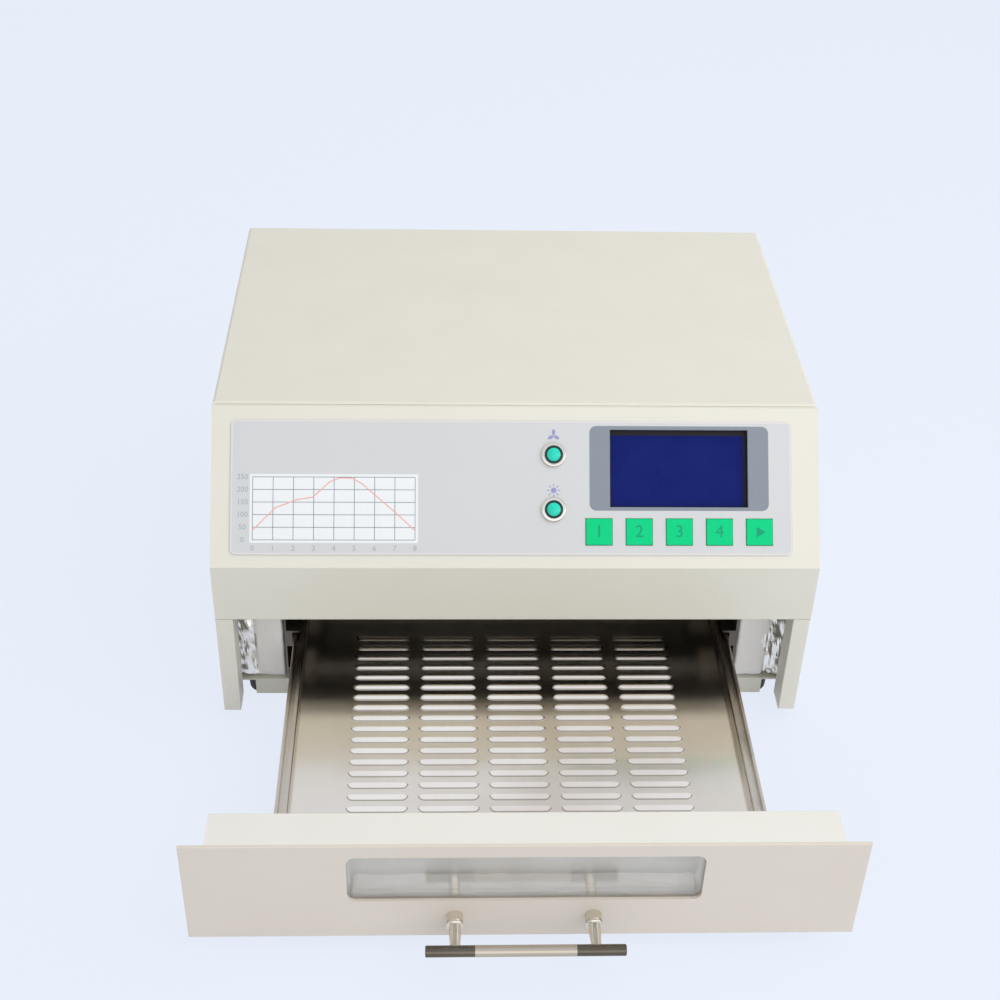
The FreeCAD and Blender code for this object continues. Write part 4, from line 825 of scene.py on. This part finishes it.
def key_legends():
    """A plain number on each of the first four keys and a start mark on the last."""
    for number in range(1, NUMBERED_KEYS + 1):
        name = f"key_{number}"
        u, v, reach = panel.middle(name)
        place = panel.at(u, v, reach)
        printed_text(f"key_legend_{number}", str(number), LEGEND_HEIGHT, place, print_key, name, "key_green")
    shape = bmesh.new()
    u, v, reach = panel.middle("key_5")
    bmesh.ops.create_cone(
        shape, cap_ends=True, segments=3, radius1=START_RADIUS, radius2=START_RADIUS, depth=PRINT_THICKNESS,
        matrix=Matrix.Rotation(-math.pi / 2, 4, "Z"),
    )
    bmesh.ops.transform(shape, matrix=panel.at(u, v, reach + PRINT_THICKNESS / 2), verts=shape.verts)
    finished("key_legend_start", shape, print_key, "key_5", "key_green")


def fan_symbol(u, v):
    """Fan mark: three blades round a point."""
    shape = bmesh.new()
    centre = panel.at(u, v, PRINT_THICKNESS / 2)
    for blade in range(FAN_BLADES):
        turn = Matrix.Rotation(2 * math.pi * blade / FAN_BLADES + math.pi / 2, 4, "Z")
        shift = Matrix.Translation((BLADE_PLACE, 0, 0))
        bmesh.ops.create_cone(
            shape, cap_ends=True, segments=BLADE_STEPS, radius1=ICON_RADIUS, radius2=ICON_RADIUS,
            depth=PRINT_THICKNESS, matrix=centre @ turn @ shift @ Matrix.Diagonal(BLADE_STRETCH),
        )
    return finished("fan_symbol", shape, print_violet, "case", "label")


def lamp_symbol(u, v):
    """Lamp mark: a disc with rays."""
    shape = bmesh.new()
    bmesh.ops.create_cone(
        shape, cap_ends=True, segments=LAMP_STEPS, radius1=LAMP_RADIUS, radius2=LAMP_RADIUS,
        depth=PRINT_THICKNESS, matrix=panel.at(u, v, PRINT_THICKNESS / 2),
    )
    for ray in range(LAMP_RAYS):
        turn = Matrix.Rotation(2 * math.pi * ray / LAMP_RAYS, 4, "Z")
        place = panel.at(u, v) @ turn @ Matrix.Translation((RAY_PLACE, 0, 0))
        add_plate(shape, RAY_LENGTH, RAY_WIDTH, PRINT_THICKNESS, place)
    return finished("lamp_symbol", shape, print_violet, "case", "label")


def lights():
    """The two lights' lenses and the marks printed over them."""
    u, low_v, high_v = light_places()
    fan_symbol(u, high_v + ICON_RISE)
    lamp_symbol(u, low_v + ICON_RISE)
    light_lens("light_lens_1", u, low_v)
    light_lens("light_lens_2", u, high_v)


def soft_block(shape, low, high, cuts):
    """Adds a finely divided block with softened edges between two corners."""
    before = set(shape.verts)
    place = Matrix.Translation((low + high) / 2) @ Matrix.Diagonal((*(high - low), 1))
    corners = bmesh.ops.create_cube(shape, size=1.0, matrix=place)["verts"]
    edges = list({edge for corner in corners for edge in corner.link_edges})
    bmesh.ops.subdivide_edges(shape, edges=edges, cuts=cuts, use_grid_fill=True)
    made = [vertex for vertex in shape.verts if vertex not in before]
    for _ in range(SOFT_ROUNDS):
        bmesh.ops.smooth_vert(
            shape, verts=made, factor=SOFT_SHARE, use_axis_x=True, use_axis_y=True, use_axis_z=True
        )


def fold_skin(shape, depth_at):
    """Presses folds into the skin of a block, as deep as a function of the place says."""
    shape.normal_update()
    for vertex in shape.verts:
        wave = noise.noise(vertex.co * COARSE_FOLDS) + FINE_SHARE * noise.noise(vertex.co * FINE_FOLDS)
        vertex.co -= vertex.normal * depth_at(vertex.co) * max(0, FOLD_LEVEL + wave)


def foil_blanket(side, name):
    """White fibre blanket beside the chamber, wrapped in crinkled foil along the leg."""
    outline = [vertex.co for vertex in nodes["insulation_sides"].data.vertices if vertex.co.x * side > 0]
    low = Vector([min(place[axis] for place in outline) for axis in range(3)])
    high = Vector([max(place[axis] for place in outline) for axis in range(3)])
    inner_edge = low.x if side > 0 else high.x
    width = high.x - low.x

    def depth(place):
        return FOIL_CRINKLE if abs(place.x - inner_edge) / width > FOIL_SHARE else FIBRE_CRINKLE

    shape = bmesh.new()
    soft_block(shape, low, high, BLANKET_CUTS)
    fold_skin(shape, depth)
    for face in shape.faces:
        place = face.calc_center_median()
        edge = Vector((side * RAGGED_SHIFT, 0, place.z * RAGGED_FOLDS))
        ragged = FOIL_SHARE + RAGGED_SHARE * noise.noise(edge)
        face.material_index = 1 if abs(place.x - inner_edge) / width > ragged else 0
        face.smooth = face.material_index == 0
    piece = finished(name, shape, blanket_fibre, "case", "fibre", foil)
    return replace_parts(piece, "insulation_sides")


def drawer_lining():
    """Foil-wrapped board in the drawer's front, in four blocks round the tunnel behind the window."""
    low, high = [Vector(corner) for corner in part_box("drawer_insulation")]
    blocks = [
        ((low.x, low.y, low.z), (-TUNNEL_HALF, high.y, high.z)),
        ((TUNNEL_HALF, low.y, low.z), (high.x, high.y, high.z)),
        ((-TUNNEL_HALF, low.y, low.z), (TUNNEL_HALF, high.y, TUNNEL_LOW)),
        ((-TUNNEL_HALF, low.y, TUNNEL_HIGH), (TUNNEL_HALF, high.y, high.z)),
    ]
    shape = bmesh.new()
    for block_low, block_high in blocks:
        soft_block(shape, Vector(block_low), Vector(block_high), LINING_CUTS)
    fold_skin(shape, lambda place: LINING_CRINKLE)
    piece = finished("drawer_lining", shape, lining_foil, "drawer", "fibre")
    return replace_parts(piece, "drawer_insulation")


def seen_directly(tree, links):
    """Output that is 1 for rays from the camera, a mirror or a pane, and 0 for diffuse light."""
    rays = tree.new("ShaderNodeLightPath")
    mirrored = tree.new("ShaderNodeMath")
    mirrored.operation = "MAXIMUM"
    through = tree.new("ShaderNodeMath")
    through.operation = "MAXIMUM"
    links.new(rays.outputs["Is Camera Ray"], mirrored.inputs[0])
    links.new(rays.outputs["Is Glossy Ray"], mirrored.inputs[1])
    links.new(mirrored.outputs["Value"], through.inputs[0])
    links.new(rays.outputs["Is Transmission Ray"], through.inputs[1])
    return through.outputs["Value"]


def world_light():
    """Pale blue ground for the camera and for reflections, and plain white light on the object."""
    world = bpy.data.worlds.new("studio")
    world.use_nodes = True
    bpy.context.scene.world = world
    tree, links = world.node_tree.nodes, world.node_tree.links
    tree.clear()
    shown = tree.new("ShaderNodeBackground")
    shown.inputs["Color"].default_value = PALE_BLUE
    shown.inputs["Strength"].default_value = 1.0
    fill = tree.new("ShaderNodeBackground")
    fill.inputs["Color"].default_value = (1, 1, 1, 1)
    fill.inputs["Strength"].default_value = WORLD_FILL
    mix = tree.new("ShaderNodeMixShader")
    out = tree.new("ShaderNodeOutputWorld")
    links.new(seen_directly(tree, links), mix.inputs["Fac"])
    links.new(fill.outputs["Background"], mix.inputs[1])
    links.new(shown.outputs["Background"], mix.inputs[2])
    links.new(mix.outputs["Shader"], out.inputs["Surface"])


def area_light(name, place, target, width, height, power):
    """A soft box aimed at a point."""
    lamp = bpy.data.lights.new(name, "AREA")
    lamp.shape = "RECTANGLE"
    lamp.size = width
    lamp.size_y = height
    lamp.energy = power
    light = bpy.data.objects.new(name, lamp)
    light.location = place
    light.rotation_mode = "QUATERNION"
    light.rotation_quaternion = (Vector(target) - Vector(place)).to_track_quat("-Z", "Y")
    bpy.context.scene.collection.objects.link(light)
    return light


def studio_lights():
    """Overhead soft box, a wide front fill and a weak side light."""
    overhead = area_light("overhead", OVERHEAD_PLACE, LIT_POINT, OVERHEAD_SIZE, OVERHEAD_SIZE, OVERHEAD_POWER)
    overhead.visible_glossy = False
    area_light("front_fill", FRONT_PLACE, LIT_POINT, FRONT_WIDTH, FRONT_HEIGHT, FRONT_POWER)
    area_light("right_side", SIDE_PLACE, SIDE_POINT, SIDE_SIZE, SIDE_SIZE, SIDE_POWER)


def bench_floor():
    """Pale floor under the oven, as bright as the backdrop where the camera sees it."""
    shape = bmesh.new()
    bmesh.ops.create_grid(shape, x_segments=1, y_segments=1, size=FLOOR_HALF)
    mesh = bpy.data.meshes.new("bench_floor")
    shape.to_mesh(mesh)
    shape.free()
    material = bpy.data.materials.new("pale floor")
    material.use_nodes = True
    tree, links = material.node_tree.nodes, material.node_tree.links
    shader = tree["Principled BSDF"]
    shader.inputs["Base Color"].default_value = PALE_BLUE
    shader.inputs["Roughness"].default_value = FLOOR_ROUGHNESS
    glow = tree.new("ShaderNodeEmission")
    glow.inputs["Color"].default_value = PALE_BLUE
    mix = tree.new("ShaderNodeMixShader")
    share = tree.new("ShaderNodeMath")
    share.operation = "MULTIPLY"
    share.inputs[1].default_value = FLOOR_GLOW
    links.new(seen_directly(tree, links), share.inputs[0])
    links.new(share.outputs["Value"], mix.inputs["Fac"])
    links.new(shader.outputs["BSDF"], mix.inputs[1])
    links.new(glow.outputs["Emission"], mix.inputs[2])
    links.new(mix.outputs["Shader"], tree["Material Output"].inputs["Surface"])
    mesh.materials.append(material)
    floor = bpy.data.objects.new("bench_floor", mesh)
    bpy.context.scene.collection.objects.link(floor)


def camera():
    """Camera at the photograph's viewing angle."""
    pitch, yaw, roll = CAMERA_PITCH, CAMERA_YAW, CAMERA_ROLL
    ahead = Vector((math.sin(yaw) * math.cos(pitch), math.cos(yaw) * math.cos(pitch), -math.sin(pitch)))
    right = Vector((math.cos(yaw), -math.sin(yaw), 0))
    up = right.cross(ahead)
    rolled_right = right * math.cos(roll) + up * math.sin(roll)
    rolled_up = up * math.cos(roll) - right * math.sin(roll)
    data = bpy.data.cameras.new("camera")
    data.lens = CAMERA_LENS
    data.sensor_width = SENSOR_WIDTH
    data.clip_start = CLIP_NEAR
    data.clip_end = CLIP_FAR
    eye = bpy.data.objects.new("camera", data)
    turn = Matrix((rolled_right, rolled_up, -ahead)).transposed().to_4x4()
    eye.matrix_world = Matrix.Translation(CAMERA_PLACE) @ turn
    bpy.context.scene.collection.objects.link(eye)
    bpy.context.scene.camera = eye


bpy.context.scene.view_settings.view_transform = "Standard"
dress_nodes()
chart_ground()
chart_grid()
chart_curve()
chart_figures()
label_border()
display_surround()
display_mask()
key_legends()
lights()
foil_blanket(-1, "foil_blanket_left")
foil_blanket(1, "foil_blanket_right")
drawer_lining()
world_light()
studio_lights()
bench_floor()
camera()
